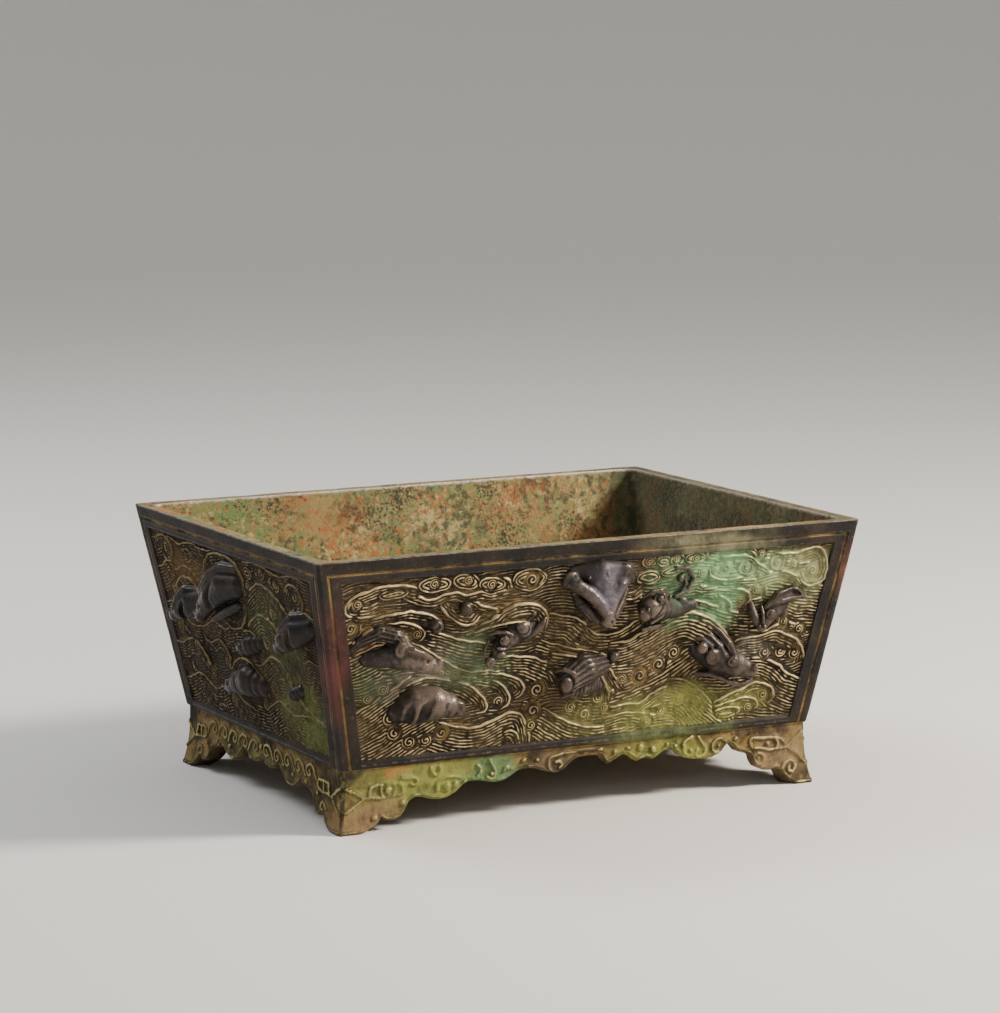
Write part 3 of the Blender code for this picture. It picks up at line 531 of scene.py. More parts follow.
def crusted(name):
    """The inside's crusts laid one over another on dull bronze, darker near the floor and on the right wall."""
    material = bpy.data.materials.new(name)
    material.use_nodes = True
    tree = material.node_tree
    shader = tree.nodes["Principled BSDF"]
    place = add_node(tree, "ShaderNodeTexCoord").outputs["Object"]
    wear_and_painted_highlight = add_node(tree, "ShaderNodeAttribute", attribute_name="wear_and_painted_highlight").outputs["Fac"]
    base = add_node(tree, "ShaderNodeTexNoise", {"Vector": place, "Scale": 1 / CRUST_BED_SIZE, "Detail": 5.0})
    colour = laid_over(tree, "#35331F", "#7C6A3F", base.outputs["Fac"], 0.38, 0.62)
    for index, (code, length, start, finish, strength) in enumerate(INSIDE_CRUSTS):
        moved = add_node(tree, "ShaderNodeVectorMath", {0: place, 1: (0.31 * index,) * 3}, operation="ADD").outputs[0]
        spread = add_node(tree, "ShaderNodeTexNoise", {"Vector": moved, "Scale": 1 / CRUST_SPREAD, "Detail": 2.0})
        spots = add_node(tree, "ShaderNodeTexNoise", {
            "Vector": moved, "Scale": 1 / length, "Detail": 6.0, "Roughness": 0.62})
        grown = add_node(tree, "ShaderNodeMath", {0: spread.outputs["Fac"], 1: 0.64, 2: spots.outputs["Fac"]},
                         operation="MULTIPLY_ADD")
        colour = laid_over(tree, colour, code, grown.outputs[0], start + 0.32, finish + 0.33, strength)
    axes = add_node(tree, "ShaderNodeSeparateXYZ", {0: place}).outputs
    low = add_node(tree, "ShaderNodeMath", {0: base.outputs["Fac"], 1: -0.03, 2: axes["Z"]}, operation="MULTIPLY_ADD")
    colour = laid_over(tree, colour, "#23221A", low.outputs[0], 0.030, 0.005, 0.85)
    colour = laid_over(tree, colour, "#2E2F1C", axes["X"], 0.080, 0.090, 0.62)
    speck = add_node(tree, "ShaderNodeTexNoise", {"Vector": place, "Scale": 1 / SPECK_SIZE, "Detail": 4.0})
    edge = add_node(tree, "ShaderNodeMath", {0: speck.outputs["Fac"], 1: 0.4, 2: wear_and_painted_highlight}, operation="MULTIPLY_ADD")
    colour = laid_over(tree, colour, "#9C9284", edge.outputs[0], 0.98, 1.16)
    dullness = add_node(tree, "ShaderNodeMapRange", {
        "Value": edge.outputs[0], "From Min": 0.98, "From Max": 1.16, "To Min": 0.86, "To Max": 0.5})
    metal = add_node(tree, "ShaderNodeMapRange", {
        "Value": edge.outputs[0], "From Min": 0.98, "From Max": 1.16, "To Max": 0.6})
    lumps = add_node(tree, "ShaderNodeTexNoise", {
        "Vector": place, "Scale": 1 / CRUST_LUMP_SIZE, "Detail": 5.0, "Roughness": 0.65})
    crust = add_node(tree, "ShaderNodeBump", {"Height": lumps.outputs["Fac"], "Strength": 0.5, "Distance": 0.0007})
    for socket, output in (("Base Color", colour), ("Metallic", metal.outputs[0]), ("Roughness", dullness.outputs[0]),
                           ("Normal", crust.outputs[0])):
        tree.links.new(output, shader.inputs[socket])
    return material


inside_patina = crusted("crusted_bronze_inside")
solid("vessel", vessel_points / 1000, vessel_faces.tolist() + caps, vessel_wear, [frame_patina, inside_patina],
      np.concatenate([vessel_finish, [0, 1]]))


# The relief panels: waves, foam and clouds cast in low relief inside each frame, about a millimetre deep.
# Every wave is a crest with parallel lines nested below it, each one laid over the last as a carver would.
LINE_PITCH = 1.08
LINE_HEIGHT = 0.6
CREST_HEIGHT = 0.3
HAND_WOBBLE = 0.17
PANEL_TUCK = 0.6
PLATE_BACK = 2.6
WEAR_BLUR = 0.8
# A foam curl sits on a boss this much wider than itself and this high.
BOSS_MARGIN, BOSS_HEIGHT = 0.5, 0.75


def smooth_line(points, step=0.8, closed=False):
    """Evenly spaced points on a smooth curve through given ones, as an array."""
    p = np.array(points, float)
    ends = np.vstack([p[-1], p, p[0], p[1]]) if closed else np.vstack([2 * p[0] - p[1], p, 2 * p[-1] - p[-2]])
    made = [ends[1]]
    for a, b, c, d in zip(ends, ends[1:], ends[2:], ends[3:]):
        count = max(1, round(float(np.hypot(*(c - b))) / step))
        for t in np.arange(1, count + 1) / count:
            bend, twist = a * 2 - b * 5 + c * 4 - d, b * 3 - a - c * 3 + d
            made.append((b * 2 + (c - a) * t + bend * t**2 + twist * t**3) / 2)
    return np.array(made)


def nearest(line, x, z):
    """For each place: its distance from the line, its side, its share of the way and how far it is past an end."""
    away = np.full(x.shape, 1e9)
    hand = np.ones(x.shape)
    share = np.zeros(x.shape)
    past = np.zeros(x.shape)
    count = len(line) - 1
    for index in range(count):
        a, b = line[index], line[index + 1]
        run = b - a
        length = float(np.hypot(*run)) + 1e-9
        t = ((x - a[0]) * run[0] + (z - a[1]) * run[1]) / length**2
        held = np.clip(t, 0, 1)
        gap_x, gap_z = x - a[0] - held * run[0], z - a[1] - held * run[1]
        distance = np.hypot(gap_x, gap_z)
        closer = distance < away
        away[closer] = distance[closer]
        hand[closer] = np.where(run[0] * gap_z - run[1] * gap_x >= 0, 1, -1)[closer]
        share[closer] = ((index + held) / count)[closer]
        beyond = np.zeros(x.shape)
        if index == 0:
            beyond = np.maximum(beyond, -t * length)
        if index == count - 1:
            beyond = np.maximum(beyond, (t - 1) * length)
        past[closer] = beyond[closer]
    return away, hand, share, past


def blurred(field, steps):
    """The field averaged over a window of this many steps each way, twice."""
    for axis in (0, 1, 0, 1):
        padded = np.pad(field, [(steps + 1, steps) if a == axis else (0, 0) for a in (0, 1)], mode="edge")
        total = np.cumsum(padded, axis=axis)
        size = field.shape[axis]
        high = np.take(total, np.arange(size) + 2 * steps + 1, axis=axis)
        low = np.take(total, np.arange(size), axis=axis)
        field = (high - low) / (2 * steps + 1)
    return field


def ridged(turns):
    """Rounded ridges with narrow grooves between them, one to each turn."""
    return (0.5 + 0.5 * np.cos(math.tau * turns)) ** 0.62


class Relief:
    """Heights over a sheet, in millimetres above the ground of the panel."""

    def __init__(self, x, z):
        flat = np.stack([x, z, np.zeros(x.shape)], axis=-1)
        # A hand draws no straight lines: the sheet is warped, and the ridges are uneven and a little rough
        self.x = x + HAND_WOBBLE * ripple(flat, 4.0, 11)
        self.z = z + HAND_WOBBLE * ripple(flat, 4.0, 12)
        self.uneven = 1 + 0.22 * ripple(flat, 3.0, 13)
        self.rough = 0.035 * ripple(flat, 0.9, 14)
        self.swell = np.zeros(x.shape)
        self.boss = np.zeros(x.shape)
        # Level ripples run wherever nothing else is carved
        drift = self.z + 1.3 * np.sin(self.x / 9.0) + 0.6 * np.sin(self.x / 3.9 + 1.3)
        self.height = LINE_HEIGHT * 0.8 * ridged(drift / LINE_PITCH)

    def window(self, low, high):
        """The rows and columns of the sheet that reach between two corners."""
        rows = np.flatnonzero((self.z.max(1) >= low[1]) & (self.z.min(1) <= high[1]))
        if not len(rows):
            return slice(0, 0), slice(0, 0)
        rows = slice(rows[0], rows[-1] + 1)
        x = self.x[rows]
        columns = np.flatnonzero((x.max(0) >= low[0]) & (x.min(0) <= high[0]))
        return (rows, slice(columns[0], columns[-1] + 1)) if len(columns) else (slice(0, 0), slice(0, 0))

    def lump(self, x, z, reach_x, reach_z, height, tilt=0.0):
        """A smooth swelling of the ground, under whatever is carved on it."""
        c, s = math.cos(math.radians(tilt)), math.sin(math.radians(tilt))
        dx, dz = self.x - x, self.z - z
        far = ((dx * c + dz * s) / reach_x) ** 2 + ((dz * c - dx * s) / reach_z) ** 2
        self.swell += height * np.clip(1 - far, 0, None) ** 1.5

    def flow(self, points, count, side=-1, lift=0.5, spread=(1.0, 1.0), pitch=LINE_PITCH):
        """A crest with parallel lines nested on one side of it: -1 is the right of the way it runs."""
        line = smooth_line(points)
        reach = count * pitch * max(spread)
        part = self.window(line.min(0) - reach, line.max(0) + reach)
        away, hand, share, past = nearest(line, self.x[part], self.z[part])
        # Rank counts the lines from the crest, where it is 0, and the last of them ends at count
        rank = away * hand * side / (pitch * (spread[0] + (spread[1] - spread[0]) * share))
        ending = np.clip(np.minimum(share, 1 - share) / 0.12, 0, 1)
        body = self.swell[part] + 0.8 * lift * ending * np.clip(1 - rank / count, 0, 1)
        crest = CREST_HEIGHT * ending * np.exp(-((rank / 0.5) ** 2))
        over = eased((rank + 0.78) / 0.3) * eased((count - 0.42 - rank) / 0.3) * eased(1.2 - past / (0.5 * pitch))
        self.lay(part, over, body + (LINE_HEIGHT * ridged(rank) + crest) * self.uneven[part])

    def lay(self, part, over, heights):
        """Put these heights on the sheet where over is 1, and blend them in where it is less."""
        self.height[part] += over * (heights - self.height[part])

    def cloud(self, points, count=3, lift=0.4, pitch=LINE_PITCH):
        """A closed form with its outline repeated inside it."""
        line = smooth_line(points, closed=True)
        part = self.window(line.min(0) - pitch, line.max(0) + pitch)
        x, z = self.x[part], self.z[part]
        away = nearest(line, x, z)[0]
        inside = np.zeros(x.shape, bool)
        for (ax, az), (bx, bz) in zip(line, np.roll(line, -1, axis=0)):
            if az != bz:
                crossing = (az > z) != (bz > z)
                inside ^= crossing & (x < (bx - ax) * (z - az) / (bz - az) + ax)
        rank = np.where(inside, away, -away) / pitch
        ridges = np.where(rank < count - 0.5, ridged(rank), 0.3)
        body = self.swell[part] + lift * np.clip(rank / 2 + 0.5, 0, 1)
        self.lay(part, eased((rank + 0.78) / 0.3), body + LINE_HEIGHT * ridges * self.uneven[part])

    def oval(self, x, z, reach_x, reach_z, count=3, tilt=0.0):
        """A cloud with an oval outline."""
        turn = math.radians(tilt)
        points = []
        for angle in np.arange(0, math.tau, math.tau / 12):
            a, b = reach_x * math.cos(angle), reach_z * math.sin(angle)
            points.append((x + a * math.cos(turn) - b * math.sin(turn), z + a * math.sin(turn) + b * math.cos(turn)))
        self.cloud(points, count)

    def dome(self, x, z, radius, height):
        """A small round boss that clears what lies under it, for a curl of foam to sit on."""
        part = self.window((x - radius, z - radius), (x + radius, z + radius))
        far = np.hypot(self.x[part] - x, self.z[part] - z) / radius
        self.lay(part, eased((1 - far) / 0.25), self.swell[part] + height * (1 - far**2))
        self.boss[part] = np.maximum(self.boss[part], eased((1.15 - far) / 0.2))

    def level(self, x, z):
        """The height of the nearest place on the sheet."""
        return float(self.height.flat[np.argmin((self.x - x) ** 2 + (self.z - z) ** 2)])

    def wear_and_painted_highlight(self, step):
        """From 0 in the lines to 1 on the crests, where the pale rubbed colour is partly a painted highlight."""
        local = self.height - blurred(self.height, max(1, round(WEAR_BLUR / step)))
        return np.clip(0.48 + 0.85 * local / LINE_HEIGHT - 0.22 * self.boss, 0, 1)


def sheet_of(side, step_across, step_up):
    """A side's panel as a grid: across and up the slope, and the sheet's x and z at each place."""
    low = INNER_BAND_BOTTOM - PANEL_TUCK
    high = SLOPE_HEIGHT - OUTER_BAND_TOP - GROOVE_WIDTH - INNER_BAND_TOP + PANEL_TUCK
    rises = np.linspace(low, high, round((high - low) / step_up) + 1)[:, None]
    margin = OUTER_BAND_SIDE + GROOVE_WIDTH + INNER_BAND_SIDE - PANEL_TUCK
    halves = side.half(rises) - margin
    across = halves * np.linspace(-1, 1, 2 * round(halves.mean() / step_across) + 1)[None, :]
    rises = np.broadcast_to(rises, across.shape)
    return across, rises, side.mirror * across, FOOT_HEIGHT + rises / SLOPE_HEIGHT * BODY_HEIGHT


def grid_faces(rows, columns):
    corner = np.arange((rows - 1) * columns).reshape(rows - 1, columns)[:, :-1].ravel()
    return np.stack([corner, corner + 1, corner + columns + 1, corner + columns], axis=1)


def panel_piece(name, side, across, rises, height, wear_and_painted_highlight, finish):
    """A closed plate: the carved face, four thin edges and a flat back that lies inside the wall."""
    rows, columns = across.shape
    face = side.world(across, rises, height - PANEL_DEPTH)
    border = np.concatenate([
        np.arange(columns), np.arange(1, rows) * columns + columns - 1,
        (rows - 1) * columns + np.arange(columns - 2, -1, -1), np.arange(rows - 2, 0, -1) * columns,
    ])
    back = np.full(len(border), -PANEL_DEPTH - PLATE_BACK)
    behind = side.world(across.ravel()[border], rises.ravel()[border], back)
    first = rows * columns
    ring = first + np.arange(len(border))
    faces = grid_faces(rows, columns).tolist()
    faces += np.stack([np.roll(border, -1), border, ring, np.roll(ring, -1)], axis=1).tolist()
    faces.append(ring[::-1].tolist())
    vertices = np.concatenate([face.reshape(-1, 3), behind])
    return solid(name, vertices, faces, np.concatenate([wear_and_painted_highlight.ravel(), np.zeros(len(border))]), [finish])


# The front panel, as the photograph shows it: crests, hooks and clouds in the order they overlap.
# Each crest gives its points, how many lines it has, which side they lie, its lift and, if they do, how they spread.
FRONT_STEP = 0.27
FRONT_STEP_ACROSS = 0.35
FRONT_SWELLS = (
    (-74, 62, 12, 7, 1.8, -10), (-58, 38, 14, 9, 1.2, 0), (-27, 66, 13, 8, 1.6, 10), (0, 46, 15, 10, 1.2, -30),
    (43, 56, 15, 8, 2, -35), (74, 52, 12, 6, 0.8, -10), (-32, 32, 14, 8, 0.7, 0), (32, 36, 14, 7, 0.7, 20),
    (3, 79, 15, 8, 0.9, 0), (75, 63, 9, 6, 0.8, 0), (23, 66, 9, 8, 1, 0),
)
FRONT_FLOWS = (
    (((-89, 60.5), (-84, 62.3), (-79, 65), (-73, 66)), 17, -1, 0.4, (1, 1.2)),
    (((-60, 66), (-52, 63.5), (-45, 61), (-37, 59.5), (-30, 58)), 10, -1, 0.4),
    (((-20, 69.5), (-13, 67.5), (-6, 65.7), (0, 62)), 9, -1, 0.3, (1, 1.05)),
    (((-18, 59), (-12, 57), (-5, 55.2), (3, 53), (9, 51)), 7, -1, 0.3, (1, 0.9)),
    (((-34, 54.6), (-28, 54.4), (-23, 54), (-18, 52.4), (-12, 49.5), (-9, 46)), 9, -1, 0.5, (0.9, 1.1)),
    (((8, 71), (13, 70), (19, 70.5)), 10, -1, 0.2),
    (((8, 72.5), (11.5, 70.8), (16, 70.3), (19, 72)), 3, 1, 0.3),
    (((-1, 62), (2.5, 59.3), (7, 58.6), (12, 59.6), (18, 63)), 5, -1, 0.3),
    (((7, 50), (14, 49.4), (20, 50), (26, 52.8), (31, 56)), 7, -1, 0.3),
    (((6, 38.5), (13, 40), (20, 42.2), (26, 44.3), (31, 47), (38, 51)), 11, -1, 0.5, (1, 1.15)),
    (((36, 68.5), (43, 66.5), (50, 63.8), (56, 62), (62, 61.5)), 9, -1, 0.4, (1, 1.05)),
    (((57, 66.5), (61, 66), (65, 66.5)), 8, -1, 0.1),
    (((77, 71.5), (81, 70), (89, 68.8)), 17, -1, 0.2, (1.05, 1)),
    (((63, 45.6), (68, 45), (73, 42.6), (77, 39), (81, 37), (86, 36.4)), 13, -1, 0.5),
    (((56, 50.5), (62, 50.2), (67, 50.2), (71, 48.5)), 4, -1, 0.4, (1, 0.8)),
    (((-90, 38.5), (-83, 40.3), (-76, 44), (-70, 47.4), (-64, 50.8)), 24, -1, 0.6, (1, 1.05)),
    (((-66, 62.8), (-58, 58.7), (-51, 54), (-45, 51.2), (-37, 50), (-30, 49.8)), 6, -1, 0.5, (0.95, 1)),
    (((-68, 46.6), (-60, 49.6), (-53, 48.9), (-47, 47.4), (-42, 45.2), (-38, 41.8), (-35.8, 38.4), (-36.6, 36.2),
      (-39.2, 35.9)), 5, -1, 0.7, (1, 0.9)),
    (((-42, 48.2), (-36, 47.2), (-31, 44.9), (-28.1, 41.3), (-28.4, 38.2), (-31, 36.8)), 3, -1, 0.6, (1, 0.95)),
    (((-40, 49.4), (-32, 48.8), (-26.3, 47), (-23.2, 44), (-23.2, 41.3), (-25.2, 40)), 3, -1, 0.6, (0.95, 0.95)),
    (((-22, 38.4), (-15, 35.4), (-9, 31.8), (-3, 28.7), (4, 27), (12, 27.3), (20, 28.5)), 11, -1, 0.4),
    (((-53, 34.5), (-46, 32), (-40, 31.4), (-35, 32.7), (-31, 34.5), (-27, 35.2), (-23.8, 34.4), (-21.6, 31.6),
      (-19.8, 27), (-19, 24)), 10, -1, 0.9, (1, 1.05)),
    (((-29, 28.6), (-27, 29.3), (-24.5, 27.6), (-23, 25)), 4, -1, 0.5),
    (((-14, 54), (-9, 53.4), (-3, 51.6), (2, 48.2), (5.6, 44), (8.2, 39.8), (9.4, 35.5)), 6, -1, 1.1),
    (((2.5, 52), (7, 48.5), (10.5, 44.5), (14, 39.5)), 3, -1, 0.4),
    (((9, 33.2), (15, 33.8), (21, 34), (25, 36.4), (29, 38.4), (33.5, 39.2), (37.4, 38), (39.4, 35), (38.8, 32),
      (36.2, 30.9)), 4, -1, 0.8, (1, 0.9)),
    (((8, 29.6), (14, 30.8), (20, 30.4), (26, 29.2), (33, 29.5), (40, 28)), 5, -1, 0.4),
    (((31, 41.4), (38, 40.4), (43, 36.8), (48, 32), (53, 27.8), (58, 24.6)), 13, -1, 0.7),
    (((49, 31.2), (55, 33.4), (60, 34.8), (64, 36.5), (68, 36.3), (71.6, 34.2), (72.4, 31), (70.6, 29)),
      4, -1, 0.7),
    (((50, 29.8), (57, 31.2), (62, 31.8), (65.8, 30.8), (66.8, 28.6), (65, 27)), 3, -1, 0.6),
    (((50, 28.2), (56, 28.9), (59.6, 27.9), (58.6, 25.8)), 2, -1, 0.5),
    (((8, 55.8), (14, 56.2), (20, 58.6), (26, 61.4), (31, 63.4), (36, 64.2), (41, 63), (46, 60.4), (50, 57),
      (53.3, 52.8), (55.6, 48), (56.2, 44)), 8, -1, 1.3, (1, 1.22)),
    (((61, 55.6), (66, 55), (71, 56.6), (75, 57.3), (79, 56), (83, 53.5)), 3, -1, 0.5),
    (((54.5, 51.6), (59, 53), (64, 53.2), (69, 54.5), (73, 54), (77.3, 52), (80.7, 49.4), (83, 45.6), (83.4, 43)),
      4, -1, 0.8, (1, 1.05)),
    (((-88, 63), (-84, 66), (-79, 68.2), (-74, 68), (-70, 66.4), (-67, 64), (-65.2, 61.4)), 5, -1, 1, (1, 1.05)),
    (((-81, 70.3), (-74, 69.6), (-68, 69.1), (-63, 67.7), (-60.3, 65.2), (-61.2, 62.9), (-63.2, 62.5)), 2, -1, 0.6),
    (((-80, 71.2), (-72, 72.3), (-65, 72.6), (-59.4, 71.2), (-55.4, 69), (-53.8, 66)), 3, -1, 0.8, (1, 0.9)),
    (((-41, 65.8), (-36.5, 67.7), (-32, 70.6), (-27, 72.2), (-22, 71.8), (-18, 69.8), (-16, 66.5), (-16.6, 62.5)),
      4, -1, 1.2),
    (((-42, 63.4), (-36, 65.4), (-30, 66.6), (-25, 66.2), (-21.6, 63.6)), 2, -1, 0.9),
    (((-55.6, 74.4), (-52.4, 70.6), (-49, 68), (-46, 66.8), (-43, 67), (-40.4, 69.2)), 3, 1, 0.6),
    (((-47, 74.6), (-43.4, 74.4), (-40.5, 72.8), (-37, 71.4), (-33.6, 71.2)), 2, -1, 0.6),
    (((-68, 79.6), (-62.4, 77), (-58, 76), (-54, 77.2), (-50, 77.7), (-46, 76.6), (-41, 77.3), (-36, 76.4),
      (-31, 77)), 3, -1, 0.6, (1, 1.05)),
    (((-63, 80.2), (-69, 81.7), (-76, 81.9), (-82, 80.6), (-87, 78.5), (-88.9, 76), (-87.9, 73.4), (-84.5, 72.3),
      (-80, 72), (-76.8, 73.2)), 4, 1, 0.8),
    (((-33, 81.4), (-30.6, 80), (-30, 77.6)), 2, -1, 0.5),
    (((40, 73), (44.5, 71.4), (48, 68.9), (51.4, 66.5), (53, 64.7), (51.8, 62.9)), 3, -1, 0.6, (1, 0.9)),
    (((42, 71.4), (50, 71.4), (55, 70.6), (59, 68.7), (59.8, 66), (57.4, 64)), 3, -1, 0.7, (1, 0.9)),
    (((47, 73.6), (55, 73.6), (61, 73.2), (65.4, 70.8), (66.2, 67.5)), 3, -1, 0.5, (1, 0.9)),
    (((62, 74), (68, 75.4), (73, 75), (77.6, 73), (81.6, 69.4)), 5, -1, 0.5, (1, 0.85)),
    (((43.4, 78.4), (44.6, 75.6), (49, 74), (55, 74.3), (60.6, 74.6)), 3, 1, 0.5),
    (((46, 82), (52, 82), (57.6, 81.4), (62, 78.8), (66, 76.2)), 3, -1, 0.5),
    (((58.6, 83.4), (62.5, 80.6), (67, 80.4)), 3, 1, 0.4),
    (((66.6, 81), (72, 81.5), (76, 81), (80, 82.2), (84, 82.7), (87.4, 80.6), (88.8, 77), (88.5, 73), (86.6, 70.4),
      (83, 69.4), (80, 70.8), (78.6, 73.4)), 3, -1, 0.7),
    (((72, 78.6), (76, 77.6), (80, 77.6), (83.6, 76.2)), 2, -1, 0.4),
)
FRONT_OVALS = (
    (-57.5, 81, 5.6, 2.4, 0), (-46.3, 81.2, 4.6, 2.4, -8), (-37, 79.4, 4.6, 2.3, -6), (-23.5, 80, 6.2, 3.6, 0),
    (20.5, 77, 4.2, 2, 0), (20.5, 82.4, 2.7, 1.8, 0), (25.8, 82.4, 2.4, 1.7, 0), (31, 82.4, 2.6, 1.6, 10),
    (37.8, 82.4, 3.8, 1.8, -4), (44.6, 83, 2.4, 1.4, 0), (29.4, 78.6, 3.8, 1.7, 8), (57.8, 77.6, 3.2, 2.6, 0),
    (-86.4, 68.6, 3.4, 3.6, 0), (69.4, 78.2, 2.4, 2.6, 20), (54.6, 26.6, 3.6, 1.3, 0), (-72, 79, 5, 1.6, 4),
)
# Curls of foam and cloud: middle, radius, the angle where the spiral starts, and its hand
FRONT_CURLS = (
    (-86.4, 68.6, 2.3, 60, 1), (-78.8, 44.6, 1.7, 20, -1), (-73.4, 47.2, 2, 40, -1), (-70.4, 36.9, 2.6, 40, 1),
    (-68.4, 31.9, 2.6, 90, 1), (-67.2, 41.3, 1.9, 150, -1), (-63.2, 42.2, 1.5, 120, -1), (-63, 28.4, 2.4, 150, 1),
    (-57, 28.5, 2.3, 170, 1), (-51.5, 30.4, 2.7, 200, 1), (-48.2, 49.8, 1.9, 20, 1), (-53.4, 51, 1.5, 300, 1),
    (-62.6, 64.8, 1.7, 70, -1), (-31.5, 39.3, 2, 0, -1), (-18.6, 34.8, 3.1, 20, 1), (-17.6, 42, 2.9, 160, -1),
    (-19, 29.8, 2, 90, 1), (-22.5, 79.8, 2.7, 90, -1), (-37, 79.3, 1.7, 0, 1), (0.2, 40.6, 2.4, 220, 1),
    (5.4, 37, 2.1, 60, 1), (0.6, 31.6, 2.9, 40, 1), (-4.6, 34.6, 1.9, 120, 1), (4.2, 50.2, 2, 90, -1),
    (20.4, 43.1, 3, 120, -1), (27.2, 46.6, 2.8, 120, -1), (32.6, 50.2, 2.5, 120, -1), (35.7, 33.6, 2.3, 90, -1),
    (29.6, 30.4, 1.9, 60, -1), (24.3, 27.2, 2.1, 100, -1), (8.2, 33.3, 1.5, 60, 1), (13.8, 42.6, 1.7, 80, -1),
    (83.4, 74.4, 2.9, 100, -1), (50.2, 78.4, 2.6, 90, 1), (57.6, 77.8, 1.8, 90, -1), (41.2, 77, 1.8, 40, 1),
    (45.8, 77.6, 1.5, 90, 1), (56.6, 66.4, 1.9, 0, -1), (49.8, 65.2, 1.7, 0, -1), (62.2, 69.6, 1.7, 90, -1),
    (67.8, 47.3, 2.5, 60, -1), (73.8, 47, 2.3, 60, -1), (79.4, 46, 2.5, 60, -1), (80.2, 54.3, 2.1, 90, 1),
    (74, 57.4, 1.9, 90, 1), (68.6, 32.2, 2.2, 0, -1), (63.4, 28.3, 1.7, 0, -1), (34.4, 67.3, 1.7, 90, 1),
    (76, 77.4, 1.6, 180, 1), (69.6, 78.4, 1.6, 90, 1), (20.6, 82.4, 1.5, 0, 1), (30.8, 82.5, 1.4, 0, 1),
    (38.2, 82.4, 1.5, 0, -1), (-45.4, 81.6, 1.6, 30, -1), (-57.6, 81.1, 1.7, 60, 1), (63, 81.8, 1.5, 0, 1),
    (-84.5, 76.4, 1.7, 150, 1),
)

# The front: pale gold ridges, partly rubbed metal and partly a painted highlight of their lit sides, on a dark
# ground, mint green at the top right, yellow-green below it
front_patina = patina(
    "dark_patinated_bronze_front",
    (
        ("#84B07C", (0.050, -0.079, 0.077), (0.034, 0.02, 0.014), 0.9, 0.8),
        ("#A8AF7C", (0.076, -0.078, 0.074), (0.022, 0.02, 0.016), 0.65, 0.7),
        ("#6C9A6C", (0.040, -0.077, 0.066), (0.022, 0.02, 0.010), 0.6, 0.5),
        ("#99A04E", (0.040, -0.071, 0.030), (0.038, 0.02, 0.013), 0.8, 0.3),
        ("#7E8044", (0.005, -0.070, 0.028), (0.034, 0.02, 0.010), 0.5, 0.3),
        ("#5D7A57", (-0.045, -0.075, 0.053), (0.026, 0.02, 0.016), 0.6, 0.3),
        ("#4E6E4E", (-0.076, -0.075, 0.052), (0.016, 0.02, 0.012), 0.55, 0.3),
        ("#8C8076", (-0.060, -0.085, 0.050), (0.026, 0.02, 0.018), 0.5, 1.0),
        ("#9C94A0", (0.004, -0.090, 0.074), (0.010, 0.02, 0.012), 0.6, 1.0),
        ("#8F8A80", (0.062, -0.085, 0.048), (0.014, 0.02, 0.012), 0.45, 1.0),
        ("#7A4034", (-0.080, -0.077, 0.066), (0.010, 0.02, 0.006), 0.5, 0.9),
    ),
    earth=0.42, crest=0.42, rub_and_highlight=("#CDB788", 0.53, 0.95),
)


def carved(relief, swells, flows, ovals, curls):
    """Carve a drawing on a sheet: the ground's swells, then the crests, the clouds and the curls' bosses."""
    for swell in swells:
        relief.lump(*swell)
    relief.height += relief.swell
    for flow in flows:
        relief.flow(*flow)
    for x, z, reach_x, reach_z, tilt in ovals:
        relief.oval(x, z, reach_x, reach_z, tilt=tilt)
    for x, z, radius, *_ in curls:
        relief.dome(x, z, radius + BOSS_MARGIN, BOSS_HEIGHT)


def relief_pieces(side, step_across, step_up, drawing, finish, pieces):
    """Carve a side's panel and make it in so many pieces, side by side; returns the carving."""
    across, rises, x, z = sheet_of(side, step_across, step_up)
    relief = Relief(x, z)
    carved(relief, *drawing)
    wear_and_painted_highlight = relief.wear_and_painted_highlight(step_up)
    columns = np.linspace(0, x.shape[1] - 1, len(pieces) + 1).round().astype(int)
    for name, first, last in zip(pieces, columns, columns[1:]):
        part = np.s_[:, first : last + 1]
        height = relief.height[part] + relief.rough[part]
        panel_piece(name, side, across[part], rises[part], height, wear_and_painted_highlight[part], finish)
    return relief


FRONT_DRAWING = (FRONT_SWELLS, FRONT_FLOWS, FRONT_OVALS, FRONT_CURLS)
front_relief = relief_pieces(FRONT, FRONT_STEP_ACROSS, FRONT_STEP, FRONT_DRAWING, front_patina,
                             ("front_relief_left", "front_relief_right"))


# The foam curls: spirals of thick wax thread laid on small bosses before casting, each two turns.
# One spiral is swept and set at every boss, scaled and turned to suit.
CURL_TURNS = 2.0
CURL_THREAD = 0.115
CURL_INNER = 0.12
CURL_LIFT = 0.02
# The curls are coloured as rubbed crests, partly a painted highlight
CURL_WEAR_AND_HIGHLIGHT = 0.92


